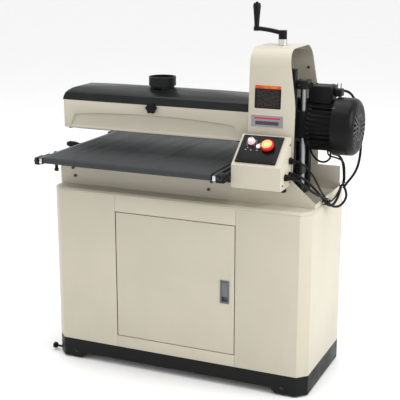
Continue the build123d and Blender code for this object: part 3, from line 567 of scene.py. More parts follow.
class Paint:
    """Every finish on the machine."""

    CREAM = PowderCoat("cream_powder_coat", (0.505, 0.470, 0.380), 0.40)
    PLINTH = Enamel("black_plinth_enamel", (0.009, 0.0095, 0.009), 0.46)
    BRACKET = Enamel("black_bracket_enamel", (0.009, 0.009, 0.0095), 0.42)
    GEARMOTOR = Enamel("black_gearmotor_enamel", (0.020, 0.020, 0.021), 0.45, 0.0001, 420.0)
    FAN_COVER = Enamel("fan_cover_enamel", (0.006, 0.006, 0.006), 0.36, 0.00006, 560.0)
    CRANK = Enamel("crank_enamel", (0.007, 0.007, 0.007), 0.30, 0.00004, 500.0)
    CASTING = CastIron("black_casting", (0.008, 0.008, 0.0085), 0.55)
    FINNED = CastIron("finned_casting", (0.006, 0.006, 0.0065), 0.48)
    ROTOR = Metal("rotor_laminations", (0.22, 0.21, 0.20), 0.45, Lay.ALONG_X)
    LID = Moulded("lid_moulding", (0.010, 0.011, 0.0105), 0.36, 0.00005, 700.0)
    KNOB = Moulded("black_knob", (0.007, 0.007, 0.007), 0.38)
    LATCH = Moulded("latch_moulding", (0.13, 0.135, 0.14), 0.42)
    PANEL = Moulded("panel_moulding", (0.005, 0.005, 0.005), 0.34, 0.00003, 1100.0)
    FAN = Moulded("fan_moulding", (0.05, 0.05, 0.052), 0.5)
    GLAND = Moulded("nylon_gland", (0.006, 0.006, 0.006), 0.4)
    START = Moulded("start_button_moulding", (0.82, 0.81, 0.79), 0.25, 0.00001)
    INK = Moulded("panel_ink", (0.78, 0.78, 0.76), 0.5, 0.00001)
    HINGE = Metal("hinge_plate", (0.56, 0.56, 0.55), 0.38, Lay.ALONG_Z)
    BED = Metal("ground_bed", (0.46, 0.46, 0.47), 0.34, Lay.ALONG_Y)
    RAIL = Metal("browned_rail", (0.11, 0.11, 0.115), 0.42, Lay.ALONG_Y)
    ZINC = Metal("bright_zinc", (0.66, 0.67, 0.68), 0.28, Lay.ALONG_X, 0.2)
    BOLT = Metal("black_oxide_bolt", (0.05, 0.05, 0.052), 0.36, Lay.ALONG_Z)
    SPRING = Metal("spring_wire", (0.045, 0.045, 0.047), 0.35, Lay.ALONG_X)
    THREAD = Metal("rolled_thread", (0.16, 0.16, 0.165), 0.38, Lay.ALONG_Z)
    POST = Metal("ground_post", (0.30, 0.31, 0.32), 0.36, Lay.ALONG_Z, 0.15)
    DRUM = Metal("turned_drum", (0.70, 0.70, 0.71), 0.30, Lay.ALONG_Y)
    BELT = GritCloth("conveyor_belt_face", (0.032, 0.036, 0.037), 0.62)
    WRAP = WoundStrip("abrasive_strip", (0.34, 0.17, 0.09), 0.85)
    FOOT = Rubber("foot_rubber_pad", (0.02, 0.02, 0.02), 0.7)
    ROLLER = Rubber("roller_rubber_cover", (0.03, 0.03, 0.03), 0.65)
    CORD = Rubber("cord_jacket", (0.007, 0.007, 0.007), 0.42)
    PLUG = Rubber("plug_body", (0.008, 0.008, 0.008), 0.45)
    STOP = StopCap("stop_button_red", (0.66, 0.012, 0.018), 0.22)
    DIAL = DialKnob("speed_knob_pale", (0.80, 0.70, 0.70), 0.35)
    NOTICE = NoticePrint("printed_notice", (0.02, 0.02, 0.02), 0.35)
    BADGE = BadgePlate("silver_badge", (0.30, 0.30, 0.305), 0.36)
    FLOOR = PaleFloor("pale_floor", (0.93, 0.93, 0.93), 0.9)


SLOT_FINISH = {
    "black_satin": Paint.PLINTH,
    "cream_paint": Paint.CREAM,
    "foot_rubber": Paint.FOOT,
    "knob_plastic": Paint.KNOB,
    "hinge_steel": Paint.HINGE,
    "latch_grey": Paint.LATCH,
    "bed_steel": Paint.BED,
    "belt_rubber": Paint.BELT,
    "roller_rubber": Paint.ROLLER,
    "black_bracket": Paint.BRACKET,
    "zinc_screw": Paint.ZINC,
    "gearmotor_black": Paint.GEARMOTOR,
    "casting_black": Paint.CASTING,
    "ground_steel": Paint.POST,
    "drum_aluminium": Paint.DRUM,
    "abrasive": Paint.WRAP,
    "rotor_iron": Paint.ROTOR,
    "lid_plastic": Paint.LID,
    "motor_black": Paint.FINNED,
    "fan_cover_black": Paint.FAN_COVER,
    "fan_plastic": Paint.FAN,
    "label_print": Paint.BADGE,
    "panel_black": Paint.PANEL,
    "dial_grey": Paint.DIAL,
    "stop_red": Paint.STOP,
    "start_white": Paint.START,
    "gland_black": Paint.GLAND,
    "crank_black": Paint.CRANK,
    "cord_black": Paint.CORD,
}
NODE_SLOT = {row["node"]: row["material_slot"] for row in frame["record"]["subparts"]}
NODE_BODY = {n: b for b, members in frame["record"]["behaviour"]["bodies"].items() for n in members}


# --- making pieces ----------------------------------------------------------------------
SHARP, FLAT = math.radians(40), math.radians(0.6)
SUNK = -0.4
ACROSS, FRONT, REAR, UP = (Vector(way) for way in ((1, 0, 0), (0, -1, 0), (0, 1, 0), (0, 0, 1)))


def piece(
    name: str,
    mesh: bpy.types.Mesh,
    finish: Finish,
    body: str | None,
    stands_for: tuple[str, ...] = (),
) -> bpy.types.Object:
    """Links a finished mesh as a piece of the machine.

    Args:
        name: the piece's name.
        mesh: its mesh, already in place.
        finish: its finish.
        body: the body it rides on, or None to leave it unattached.
        stands_for: nodes that the piece replaces.

    Returns:
        The new object.
    """
    made = bpy.data.objects.new(name, mesh)
    bpy.context.scene.collection.objects.link(made)
    mesh.materials.clear()
    mesh.materials.append(finish.material())
    if body:
        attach(made, body)
    if stands_for:
        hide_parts(*stands_for)
    return made


def smooth(mesh: bpy.types.Mesh, angle: float = 32.0) -> bpy.types.Mesh:
    """Shades a mesh smooth, with edges sharper than the angle left crisp."""
    mesh.polygons.foreach_set("use_smooth", [True] * len(mesh.polygons))
    mesh.set_sharp_from_angle(angle=math.radians(angle))
    return mesh


def mesh_from(made: bmesh.types.BMesh, name: str) -> bpy.types.Mesh:
    """Turns a bmesh into a mesh, and frees it."""
    mesh = bpy.data.meshes.new(name)
    made.to_mesh(mesh)
    made.free()
    return mesh


def bridge(made: bmesh.types.BMesh, rings: list[list[bmesh.types.BMVert]]) -> None:
    """Makes the faces between rings of corners. A ring of one corner is a point."""
    for low, high in zip(rings, rings[1:]):
        for k in range(max(len(low), len(high))):
            corners = [low[k % len(low)], low[(k + 1) % len(low)]]
            corners += [high[(k + 1) % len(high)], high[k % len(high)]]
            unique = list(dict.fromkeys(corners))
            if len(unique) > 2:
                made.faces.new(unique)


def add_block(made: bmesh.types.BMesh, place: Matrix, size: tuple[float, float, float]) -> None:
    """Adds a block of a size in millimetres, at a place."""
    scale = Matrix.Diagonal((*(side * MM for side in size), 1.0))
    bmesh.ops.create_cube(made, size=1.0, matrix=place @ scale)


def joined_copy(node: str) -> bmesh.types.BMesh:
    """A node's mesh with its loose triangles joined and its flats made whole."""
    made = bmesh.new()
    made.from_mesh(frame["nodes"][node].data)
    bmesh.ops.remove_doubles(made, verts=made.verts, dist=0.000002)
    bmesh.ops.dissolve_limit(made, angle_limit=FLAT, verts=made.verts, edges=made.edges)
    return made


def eased(
    node: str,
    radius: float = 0.0,
    finish: Finish | None = None,
    shortest: float = 12.0,
    steps: int = 2,
) -> bpy.types.Object:
    """A copy of a node with its long sharp edges rounded over, which stands for the node.

    Args:
        node: the node.
        radius: size of the rounding in millimetres, or 0 for smooth shading only.
        finish: its finish, or None for the one of its slot.
        shortest: edges shorter than this stay sharp, in millimetres.
        steps: segments of the rounding.

    Returns:
        The new object.
    """
    made = joined_copy(node)
    if radius:
        long_edges = [e for e in made.edges if e.is_manifold and e.calc_length() > shortest * MM]
        edges = [e for e in long_edges if e.calc_face_angle(0) > SHARP]
        bmesh.ops.bevel(
            made, geom=edges, offset=radius * MM, offset_type="OFFSET", segments=steps,
            profile=0.5, affect="EDGES", clamp_overlap=True, miter_outer="ARC",
        )
    name, slot = node + "_eased", NODE_SLOT[node]
    mesh = smooth(mesh_from(made, name))
    return piece(name, mesh, finish or SLOT_FINISH[slot], NODE_BODY[node], (node,))


class GeoTree:
    """A geometry-nodes tree with named inputs, run once into a plain mesh."""

    def __init__(self, name: str) -> None:
        """Starts a tree with a geometry input and output."""
        self.tree = bpy.data.node_groups.new(name, "GeometryNodeTree")
        face = self.tree.interface
        face.new_socket("Geometry", in_out="INPUT", socket_type="NodeSocketGeometry")
        face.new_socket("Geometry", in_out="OUTPUT", socket_type="NodeSocketGeometry")
        self.entry = self.tree.nodes.new("NodeGroupInput")
        self.exit = self.tree.nodes.new("NodeGroupOutput")

    def size(
        self, name: str, value: float | int | None = None, kind: str = "Float"
    ) -> bpy.types.NodeSocket:
        """Adds a named input and returns the socket that carries it."""
        made = self.tree.interface.new_socket(name, in_out="INPUT", socket_type="NodeSocket" + kind)
        if value is not None:
            made.default_value = value
        return self.entry.outputs[name]

    def node(
        self, kind: str, settings: dict | None = None, sockets: dict | None = None
    ) -> bpy.types.Node:
        """Adds a node, sets its properties, then its inputs' values or links."""
        made = self.tree.nodes.new(kind)
        for key, value in (settings or {}).items():
            setattr(made, key, value)
        for key, value in (sockets or {}).items():
            if isinstance(value, bpy.types.NodeSocket):
                self.tree.links.new(value, made.inputs[key])
            else:
                made.inputs[key].default_value = value
        return made

    def finish(self, geometry: bpy.types.NodeSocket, finish: Finish) -> None:
        """Ends the tree in Realize Instances and Set Material."""
        real = self.node("GeometryNodeRealizeInstances", None, {"Geometry": geometry})
        values = {"Geometry": real.outputs[0], "Material": finish.material()}
        dressed = self.node("GeometryNodeSetMaterial", None, values)
        self.tree.links.new(dressed.outputs[0], self.exit.inputs[0])

    def run(
        self, base: bpy.types.Mesh | None = None, **values: float | int | bpy.types.Object
    ) -> bpy.types.Mesh:
        """Runs the tree.

        Args:
            base: the mesh that enters the tree, or None for an empty one.
            values: the named inputs, with _ for a space.

        Returns:
            The plain mesh that leaves it.
        """
        holder = bpy.data.objects.new("tree_holder", base or bpy.data.meshes.new("tree_base"))
        bpy.context.scene.collection.objects.link(holder)
        modifier = holder.modifiers.new("tree", "NODES")
        modifier.node_group = self.tree
        for item in self.tree.interface.items_tree:
            key = item.name.replace(" ", "_")
            if item.in_out == "INPUT" and key in values:
                modifier[item.identifier] = values[key]
        graph = bpy.context.evaluated_depsgraph_get()
        made = bpy.data.meshes.new_from_object(holder.evaluated_get(graph))
        holder.modifiers.clear()
        bpy.data.objects.remove(holder)
        return made


def coil_tree(finish: Finish, corners: int) -> GeoTree:
    """A wire wound into a coil along +Z, as a spring or the ridge of a thread.

    Args:
        finish: the wire's finish.
        corners: corners of the wire's section.

    Returns:
        The tree, with inputs Radius, Wire, Length, Turns and Steps.
    """
    tree = GeoTree("coil_" + finish.name)
    radius, wire = tree.size("Radius", 0.01), tree.size("Wire", 0.001)
    length, turns = tree.size("Length", 0.05), tree.size("Turns", 8.0)
    path = tree.node("GeometryNodeCurveSpiral", None, {
        "Resolution": tree.size("Steps", 16, "Int"), "Rotations": turns,
        "Start Radius": radius, "End Radius": radius, "Height": length})
    circle = {"Resolution": corners, "Radius": wire}
    section = tree.node("GeometryNodeCurvePrimitiveCircle", None, circle)
    body = tree.node("GeometryNodeCurveToMesh", None, {
        "Curve": path.outputs[0], "Profile Curve": section.outputs[0], "Fill Caps": True})
    tree.finish(body.outputs[0], finish)
    return tree


def ring_tree(finish: Finish) -> GeoTree:
    """Small blocks spaced round an arc about +Z, as ticks, ribs or flutes.

    Args:
        finish: the blocks' finish.

    Returns:
        The tree, with inputs Count, Radius, Start, Sweep, Length, Width and Height.
    """
    tree = GeoTree("ring_" + finish.name)
    count, radius = tree.size("Count", 12, "Int"), tree.size("Radius", 0.01)
    start, sweep = tree.size("Start", 0.0), tree.size("Sweep", 6.0)
    length, width = tree.size("Length", 0.004), tree.size("Width", 0.001)
    arc = tree.node("GeometryNodeCurveArc", None, {
        "Resolution": count, "Radius": radius, "Start Angle": start, "Sweep Angle": sweep})
    size = tree.node("ShaderNodeCombineXYZ", None, {
        "X": length, "Y": width, "Z": tree.size("Height", 0.001)})
    block = tree.node("GeometryNodeMeshCube", None, {"Size": size.outputs[0]})
    place = tree.node("GeometryNodeInputPosition")
    turn = tree.node("FunctionNodeAlignRotationToVector", {"axis": "X", "pivot_axis": "Z"},
                     {"Vector": place.outputs[0]})
    spread = tree.node("GeometryNodeInstanceOnPoints", None, {
        "Points": arc.outputs[0], "Instance": block.outputs["Mesh"], "Rotation": turn.outputs[0]})
    tree.finish(spread.outputs[0], finish)
    return tree


def fastener_tree(finish: Finish) -> GeoTree:
    """One fastener at each point of a mesh, standing along the point's `facing`.

    Args:
        finish: the fasteners' finish.

    Returns:
        The tree, with inputs Head and Seed.
    """
    tree = GeoTree("fasteners_" + finish.name)
    head, seed = tree.size("Head", None, "Object"), tree.size("Seed", 7, "Int")
    shape = tree.node("GeometryNodeObjectInfo", {"transform_space": "ORIGINAL"}, {"Object": head})
    vector = {"data_type": "FLOAT_VECTOR"}
    facing = tree.node("GeometryNodeInputNamedAttribute", vector, {"Name": "facing"})
    upright = {"Vector": facing.outputs[0]}
    stand = tree.node("FunctionNodeAlignRotationToVector", {"axis": "Z"}, upright)
    angle = {"Max": math.pi, "Seed": seed}
    spin = tree.node("FunctionNodeRandomValue", {"data_type": "FLOAT"}, angle)
    turn = tree.node("FunctionNodeAxisAngleToRotation", None, {"Angle": spin.outputs["Value"]})
    both = tree.node("FunctionNodeRotateRotation", {"rotation_space": "LOCAL"}, {
        "Rotation": stand.outputs[0], "Rotate By": turn.outputs[0]})
    spread = tree.node("GeometryNodeInstanceOnPoints", None, {
        "Points": tree.entry.outputs[0], "Instance": shape.outputs["Geometry"],
        "Rotation": both.outputs[0]})
    tree.finish(spread.outputs[0], finish)
    return tree


def placed(
    mesh: bpy.types.Mesh, centre: Vector, along: Vector = UP
) -> bpy.types.Mesh:
    """Stands a mesh made about +Z at a centre, with its +Z along a direction."""
    turn = along.to_track_quat("Z", "Y").to_matrix().to_4x4()
    mesh.transform(Matrix.Translation(centre) @ turn)
    return mesh


def turned(profile: list[tuple[float, float]], around: int = 32) -> bpy.types.Mesh:
    """A closed turned solid about +Z.

    Args:
        profile: (radius, height) points in millimetres, both ends on the axis.
        around: segments round the axis.

    Returns:
        The mesh, in metres about the origin.
    """
    made = bmesh.new()
    rings = []
    for radius, height in profile:
        angles = [math.tau * k / around for k in range(around if radius else 1)]
        corners = [(radius * math.cos(a), radius * math.sin(a), height) for a in angles]
        rings.append([made.verts.new(Vector(corner) * MM) for corner in corners])
    bridge(made, rings)
    bmesh.ops.recalc_face_normals(made, faces=made.faces)
    return smooth(mesh_from(made, "turned"))


def pan_head(radius: float, height: float, recess: float) -> bpy.types.Mesh:
    """A pan-head screw's head with a cross recess.

    Args:
        radius: the head's radius in millimetres.
        height: its height in millimetres.
        recess: half the cross's length in millimetres.

    Returns:
        The mesh, standing on the origin along +Z.
    """
    made = bmesh.new()
    arm, depth = recess * 0.32, height * 0.45
    cross = [(recess, arm), (arm, arm), (arm, recess), (-arm, recess), (-arm, arm), (-recess, arm)]
    cross += [(-x, -y) for x, y in cross]
    rim = [Vector(corner).normalized() for corner in cross]
    profile = [(radius, SUNK), (radius, height * 0.45)]
    profile += [(radius * 0.86, height * 0.85), (radius * 0.62, height)]
    rings = [[(*(way * out), z) for way in rim] for out, z in profile]
    rings.append([(x, y, height) for x, y in cross])
    rings.append([(x * 0.9, y * 0.9, height - depth) for x, y in cross])
    verts = [[made.verts.new(Vector(corner) * MM) for corner in ring] for ring in rings]
    bridge(made, verts)
    made.faces.new(list(reversed(verts[0])))
    made.faces.new(verts[-1])
    bmesh.ops.recalc_face_normals(made, faces=made.faces)
    return smooth(mesh_from(made, "pan_head"), 40)


def hex_head(radius: float, height: float) -> bpy.types.Mesh:
    """A hexagon bolt head on its washer, standing on the origin along +Z, sizes in millimetres."""
    washer, sides = radius * 1.35, [(radius, 0.6), (radius, height * 0.85), (radius * 0.86, height)]
    mesh = turned([(0, SUNK), (washer, SUNK), (washer, 1.0), (0, 1.0)], 24)
    head = turned([(0, 0.6), *sides, (0, height)], 6)
    made = bmesh.new()
    made.from_mesh(mesh)
    made.from_mesh(head)
    made.to_mesh(mesh)
    made.free()
    return smooth(mesh, 25)


def fasteners(
    name: str,
    head: bpy.types.Mesh,
    finish: Finish,
    body: str,
    places: list[tuple[Vector, Vector]],
) -> bpy.types.Object:
    """Puts the same fastener at several places.

    Args:
        name: the piece's name.
        head: one fastener's mesh.
        finish: their finish.
        body: the body they ride on.
        places: points, with the direction that each head faces.

    Returns:
        The piece.
    """
    base = bpy.data.meshes.new(name + "_points")
    base.from_pydata([p for p, _ in places], [], [])
    facing = base.attributes.new("facing", "FLOAT_VECTOR", "POINT")
    facing.data.foreach_set("vector", [c for _, d in places for c in d])
    sample = bpy.data.objects.new(name + "_sample", head)
    mesh = fastener_tree(finish).run(base, Head=sample, Seed=7)
    bpy.data.objects.remove(sample)
    return piece(name, smooth(mesh, 40), finish, body)


# --- leads and power cord ---------------------------------------------------------------
@dataclass
class Flex:
    """One flexible lead between two bodies: its route, bore and how it follows the lift."""

    name: str
    points: list[tuple[float, float, float]]
    diameter: float
    length: float
    nodes: tuple[str, ...]
    far_end: str
    bend: tuple[Vector, Vector] | None = None

    def curve(self, bevel: float) -> bpy.types.Object:
        """The route as a NURBS curve, bare or with a round section of that radius."""
        data = bpy.data.curves.new(self.name + "_route", "CURVE")
        data.dimensions = "3D"
        data.resolution_u = 10
        spline = data.splines.new("NURBS")
        spline.points.add(len(self.points) - 1)
        for point, place in zip(spline.points, self.points):
            point.co = (*at(*place), 1.0)
        spline.order_u = 3
        spline.use_endpoint_u = True
        data.bevel_depth = bevel
        data.bevel_resolution = 3
        data.use_fill_caps = True
        made = bpy.data.objects.new(self.name + "_route", data)
        bpy.context.scene.collection.objects.link(made)
        return made

    def build(self, exit_piece: tuple[str, ...] = ()) -> bpy.types.Object:
        """Args:
            exit_piece: separate pieces on the cord, such as its plug; not used.

        Returns:
            The piece.
        """
        bare = self.curve(0.0)
        line = [tuple(v.co) for v in bpy.data.meshes.new_from_object(bare).vertices]
        bpy.data.objects.remove(bare)
        thick = self.curve(self.diameter / 2)
        graph = bpy.context.evaluated_depsgraph_get()
        mesh = bpy.data.meshes.new_from_object(thick.evaluated_get(graph))
        bpy.data.objects.remove(thick)
        joined = bmesh.new()
        joined.from_mesh(mesh)
        bmesh.ops.remove_doubles(joined, verts=joined.verts, dist=0.00001)
        joined.to_mesh(mesh)
        joined.free()
        body = None if self.bend else "head"
        made = piece(self.name, smooth(mesh, 50), Paint.CORD, body, self.nodes)
        if self.bend:
            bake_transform(made)
        measured = sum((Vector(b) - Vector(a)).length for a, b in zip(line, line[1:]))
        LOG.info("%s: %d control points, %.3f m along its line", self.name, len(self.points), measured)
        return made


class Leads:
    """The leads from the control box to the motor, the power cord, and their ties."""

    MOTOR_TURN = (at(530, 60, 722), at(530, 105, 798))
    POWER_TURN = (at(545, 60, 722), at(545, 131, 925))
    RIBS = 5

    def motor_lead(self) -> Flex:
        """The thick lead from the lower gland to the motor."""
        points = [(428, -170, 788), (440, -170, 788), (456, -157, 777), (473, -140, 756)]
        points += [(487, -119, 733), (497, -99, 712), (503.8, -80.5, 691.8)]
        points += [(510.6, -65.7, 674.2), (518, -46, 662), (525, -20, 663), (529, 8, 677)]
        points += [(531, 29, 697), (530, 46, 714), (530, 60, 714), (530, 74, 714)]
        points += [(530, 82, 727), (529, 85, 747), (527, 84, 772), (524, 76, 800)]
        points += [(514, 58, 822), (504, 35, 829), (500, 30, 831), (500, 30, 843)]
        nodes = ("control_leads",)
        return Flex("motor_lead", points, 0.009, 0.506, nodes, "object", self.MOTOR_TURN)

    def sensor_lead(self) -> Flex:
        """The thin lead from the upper gland to the motor."""
        points = [(428, -168, 836), (437, -168, 836), (455, -161, 827), (469, -151, 809)]
        points += [(482, -136, 786), (491, -119, 758), (498, -100, 728), (508.6, -75.3, 698)]
        points += [(515.4, -60.5, 680.4), (520, -36, 676), (526, -6, 685), (531, 20, 704)]
        points += [(535, 44, 722), (535, 60, 722), (535, 69, 722), (535, 75, 732)]
        points += [(534, 76, 750), (534, 72, 776), (531, 66, 798), (515, 46, 813)]
        points += [(492, 33, 820), (482, 30, 828), (482, 30, 843)]
        nodes = ("control_leads",)
        return Flex("sensor_lead", points, 0.006, 0.523, nodes, "object", self.MOTOR_TURN)

    def carriage_lead(self) -> Flex:
        """The short lead that hangs between the head's carriage and the motor."""
        points = [(396, 20, 886), (406, 20, 886), (414, 18, 872), (422, 14, 848), (437, 8, 820)]
        points += [(460, 4, 804), (484, 4, 804), (499, 5, 818), (500, 4, 828), (500, 4, 843)]
        return Flex("carriage_lead", points, 0.007, 0.179, ("motor_leads_upper",), "object")

    def power_cord(self) -> Flex:
        """The power cord, from the lower gland through both ties up to its parked plug."""
        points = [(428, -214, 788), (441, -214, 788), (458, -206, 776), (473, -186, 757)]
        points += [(487, -161, 736), (499, -132, 718), (507, -106, 708), (513.4, -82.3, 693.9)]
        points += [(520.2, -67.5, 676.3), (530, -44, 660), (541, -14, 654), (550, 14, 662)]
        points += [(555, 34, 680), (550, 40, 700), (540, 46, 714), (540, 60, 714)]
        points += [(540, 74, 714), (545, 83, 723), (556, 90, 738), (568, 98, 760)]
        points += [(576, 106, 790), (579, 113, 832), (577, 117, 880), (572, 118, 930)]
        points += [(564, 114, 976), (554, 102, 1014), (542, 82, 1040), (527, 66, 1049)]
        points += [(520, 52, 1049), (520, 34, 1049)]
        nodes = ("power_cord_lower", "power_cord_upper")
        return Flex("power_cord", points, 0.009, 0.814, nodes, "plug", self.POWER_TURN)

    def build(self) -> None:
        """Makes every lead, the plug and the ties."""
        eased("power_plug", 0.0, Paint.PLUG)
        for flex in (self.motor_lead(), self.sensor_lead(), self.carriage_lead()):
            flex.build()
        self.power_cord().build(("power_plug_eased",))
        eased("cable_ties", 0.5, Paint.GLAND, 4.0)
        self.reliefs()

    def reliefs(self) -> None:
        """Ribbed, tapered sleeves where the leads leave the control box."""
        exits = (("upper", -168, 836, 3.0), ("power", -214, 788, 4.5), ("motor", -170, 788, 4.5))
        for name, y, z, bore in exits:
            profile = [(0, -6), (bore + 3.4, -6)]
            for k in range(self.RIBS):
                low, rib = -5 + 3.2 * k, bore + 3.2 - 0.5 * k
                groove = rib - 1.1
                profile += [(rib, low), (rib, low + 1.9), (groove, low + 2.2), (groove, low + 2.9)]
            profile += [(bore + 0.4, 12), (0, 12)]
            mesh = placed(turned(profile, 20), at(428, y, z), ACROSS)
            piece("strain_relief_" + name, mesh, Paint.GLAND, "root")


# --- studio -----------------------------------------------------------------------------
@dataclass
class Studio:
    """The camera, the pale floor and the soft lamps: name, place, size and power of each."""

    camera_place: tuple[float, float, float] = (1425.6, -3247.1, 1543.8)
    azimuth: float = 23.6
    pitch: float = 75.37
    lens: float = 88.6
    floor_size: float = 60.0
    sky: float = 0.98
    aim: tuple[float, float, float] = (0.0, 0.0, 0.7)
    lamps: tuple = (
        ("key", (3.9, -0.6, 2.6), 2.6, 105.0),
        ("top", (-0.4, 0.2, 4.4), 3.4, 80.0),
        ("front", (-2.6, -4.2, 1.9), 2.6, 6.0),
    )

    def camera(self) -> None:
        """Adds the camera."""
        data = bpy.data.cameras.new("camera")
        data.lens, data.sensor_width = self.lens, 36.0
        data.clip_end = 200.0
        made = bpy.data.objects.new("camera", data)
        made.location = at(*self.camera_place)
        made.rotation_euler = (math.radians(self.pitch), 0.0, math.radians(self.azimuth))
        bpy.context.scene.collection.objects.link(made)
        bpy.context.scene.camera = made

    def floor(self) -> None:
        """Adds the floor, which isn't part of the machine."""
        mesh = bpy.data.meshes.new("floor")
        half = self.floor_size / 2
        corners = [(-half, -half, 0), (half, -half, 0), (half, half, 0), (-half, half, 0)]
        mesh.from_pydata(corners, [], [(0, 1, 2, 3)])
        made = bpy.data.objects.new("floor", mesh)
        mesh.materials.append(Paint.FLOOR.material())
        bpy.context.scene.collection.objects.link(made)
        made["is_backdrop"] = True

    def lamp(self, name: str, place: Vector, aim: Vector, size: float, power: float) -> None:
        """Adds a square soft lamp that faces a point."""
        data = bpy.data.lights.new(name, "AREA")
        data.shape, data.size, data.energy = "SQUARE", size, power
        made = bpy.data.objects.new(name, data)
        made.location = place
        made.rotation_euler = (aim - place).to_track_quat("-Z", "Y").to_euler()
        bpy.context.scene.collection.objects.link(made)

    def build(self) -> None:
        """Makes the whole studio."""
        self.camera()
        self.floor()
        world = bpy.context.scene.world or bpy.data.worlds.new("studio")
        bpy.context.scene.world = world
        world.use_nodes = True
        sky = world.node_tree.nodes["Background"]
        sky.inputs["Color"].default_value = (1.0, 1.0, 1.0, 1.0)
        sky.inputs["Strength"].default_value = self.sky
        for name, place, size, power in self.lamps:
            self.lamp(name, Vector(place), Vector(self.aim), size, power)
        bpy.context.scene.view_settings.view_transform = "Standard"


# --- sub-assemblies ---------------------------------------------------------------------
@dataclass
class Stand:
    """The plinth, the cabinet with its door, hinges and latch, and the feet. Sizes in mm."""

    bolt_x: float = 414.0
    bolt_y: float = -217.0
    bolt_z: float = 31.0

    def build(self) -> None:
        """Makes the stand."""
        eased("plinth", 1.5, shortest=18)
        for side in ("left", "right", "back", "front"):
            eased("cabinet_" + side, 0.5, shortest=30)
        eased("cabinet_top", 1.6, shortest=30, steps=3)
        eased("door", 1.2, shortest=12, steps=3)
        for node in ("door_hinges", "hinge_pins", "levelling_feet", "latch_cup"):
            eased(node)
        eased("latch_paddle", 0.7, shortest=6)
        eased("star_knob", 0.0, Paint.KNOB)
        self.plinth_bolts()

    def plinth_bolts(self) -> None:
        """Bolts through the plinth's front."""
        places = [(at(x, self.bolt_y, self.bolt_z), FRONT) for x in (-self.bolt_x, self.bolt_x)]
        fasteners("plinth_bolts", hex_head(5.0, 4.5), Paint.BOLT, "root", places)


@dataclass
class Bed:
    """The base pan and the conveyor: bed, belt, rollers, take-ups, gearmotor and handles.

    Sizes are in millimetres. A take-up is given as its side, its place across and its spring.
    """

    takeups: tuple = (("left", -506.0, 32.0), ("right", 209.0, 66.0))
    takeup_z: float = 785.2
    spring_y: float = -250.5
    spring_radius: float = 7.2
    spring_pitch: float = 7.0
    wire: float = 1.7
    rod_radius: float = 4.0
    nut_radius: float = 8.5
    nut_length: float = 7.0
    washer_y: float = -298.2
    washer_radius: float = 9.5
    rail_ends_x: tuple[float, float] = (-490.0, 188.0)
    rail_end: tuple[float, float, float] = (11.0, 1.6, 17.0)
    cover_x: float = 280.0

    def build(self) -> None:
        """Makes the base and the conveyor."""
        eased("machine_base", 0.9, shortest=25)
        eased("conveyor_belt")
        eased("conveyor_bed", 0.5, Paint.RAIL, 20)
        eased("idler_roller")
        eased("drive_roller")
        eased("takeup_brackets", 1.5, Paint.BRACKET, 10)
        eased("bolts", 0.0, Paint.BOLT)
        eased("conveyor_gearmotor", 2.0, shortest=20)
        eased("bed_lock_lever", 0.8, shortest=8)
        eased("bed_knob", 0.0)
        self.takeup_springs()
        self.rail_ends()
        self.motor_screws()

    def takeup_springs(self) -> None:
        """The take-ups' coil springs behind the front brackets, each on its rod."""
        for side, x, along in self.takeups:
            coil = coil_tree(Paint.SPRING, 8).run(
                None, Radius=self.spring_radius * MM, Wire=self.wire * MM, Length=along * MM,
                Turns=along / self.spring_pitch, Steps=18)
            start, end = at(x, self.spring_y, self.takeup_z), along + self.nut_length
            spring = placed(smooth(coil, 60), start, REAR)
            piece("takeup_spring_" + side, spring, Paint.SPRING, "root")
            thin, nut = self.rod_radius, self.nut_radius
            outline = [(0, -1), (thin, -1), (thin, along), (nut, along), (nut, end), (0, end)]
            rod = placed(turned(outline, 20), start, REAR)
            piece("takeup_rod_" + side, rod, Paint.BRACKET, "root")
        caps = [(at(x, self.washer_y, self.takeup_z), FRONT) for _, x, _ in self.takeups]
        wide = self.washer_radius
        washer = turned([(0, -0.3), (wide, -0.3), (wide, 1.2), (0, 1.2)], 24)
        fasteners("takeup_washers", washer, Paint.BOLT, "root", caps)

    def rail_ends(self) -> None:
        """The bright ends of the conveyor's rails, beside the belt's front corners."""
        made = bmesh.new()
        for x in self.rail_ends_x:
            add_block(made, Matrix.Translation(at(x, -298.6, 783)), self.rail_end)
        bmesh.ops.bevel(
            made, geom=made.edges[:], offset=0.4 * MM, segments=2, affect="EDGES", profile=0.5)
        mesh = smooth(mesh_from(made, "rail_ends"))
        piece("rail_ends", mesh, Paint.ZINC, "root")

    def motor_screws(self) -> None:
        """The screws of the conveyor gearmotor's end cover."""
        places = [(at(self.cover_x, y, z), ACROSS) for y in (253, 297) for z in (746, 789)]
        head = pan_head(3.6, 2.4, 2.0)
        fasteners("gearmotor_screws", head, Paint.ZINC, "root", places)


@dataclass
class Head:
    """The sanding head: beam, drum, pressure rollers, hood and lid. Sizes in mm."""

    end_x: float = -502.0
    bolt_pitch: float = 22.0

    def build(self) -> None:
        """Makes the head."""
        eased("head_carriage", 1.2, shortest=16)
        eased("head_beam", 0.8, shortest=20)
        for node in ("drum", "abrasive_wrap", "drum_shaft", "drum_bearings"):
            eased(node)
        for node in ("pressure_roller_front", "pressure_roller_rear", "motor_rotor", "cooling_fan"):
            eased(node)
        eased("dust_hood", 0.6, shortest=14)
        for node in ("hood_lid", "dust_port", "lid_knob"):
            eased(node)
        pair = (-self.bolt_pitch, self.bolt_pitch)
        places = [(at(self.end_x, y, DRUM_AXIS + z), -ACROSS) for y in pair for z in pair]
        fasteners("beam_bolts", hex_head(4.2, 4.0), Paint.BOLT, "head", places)


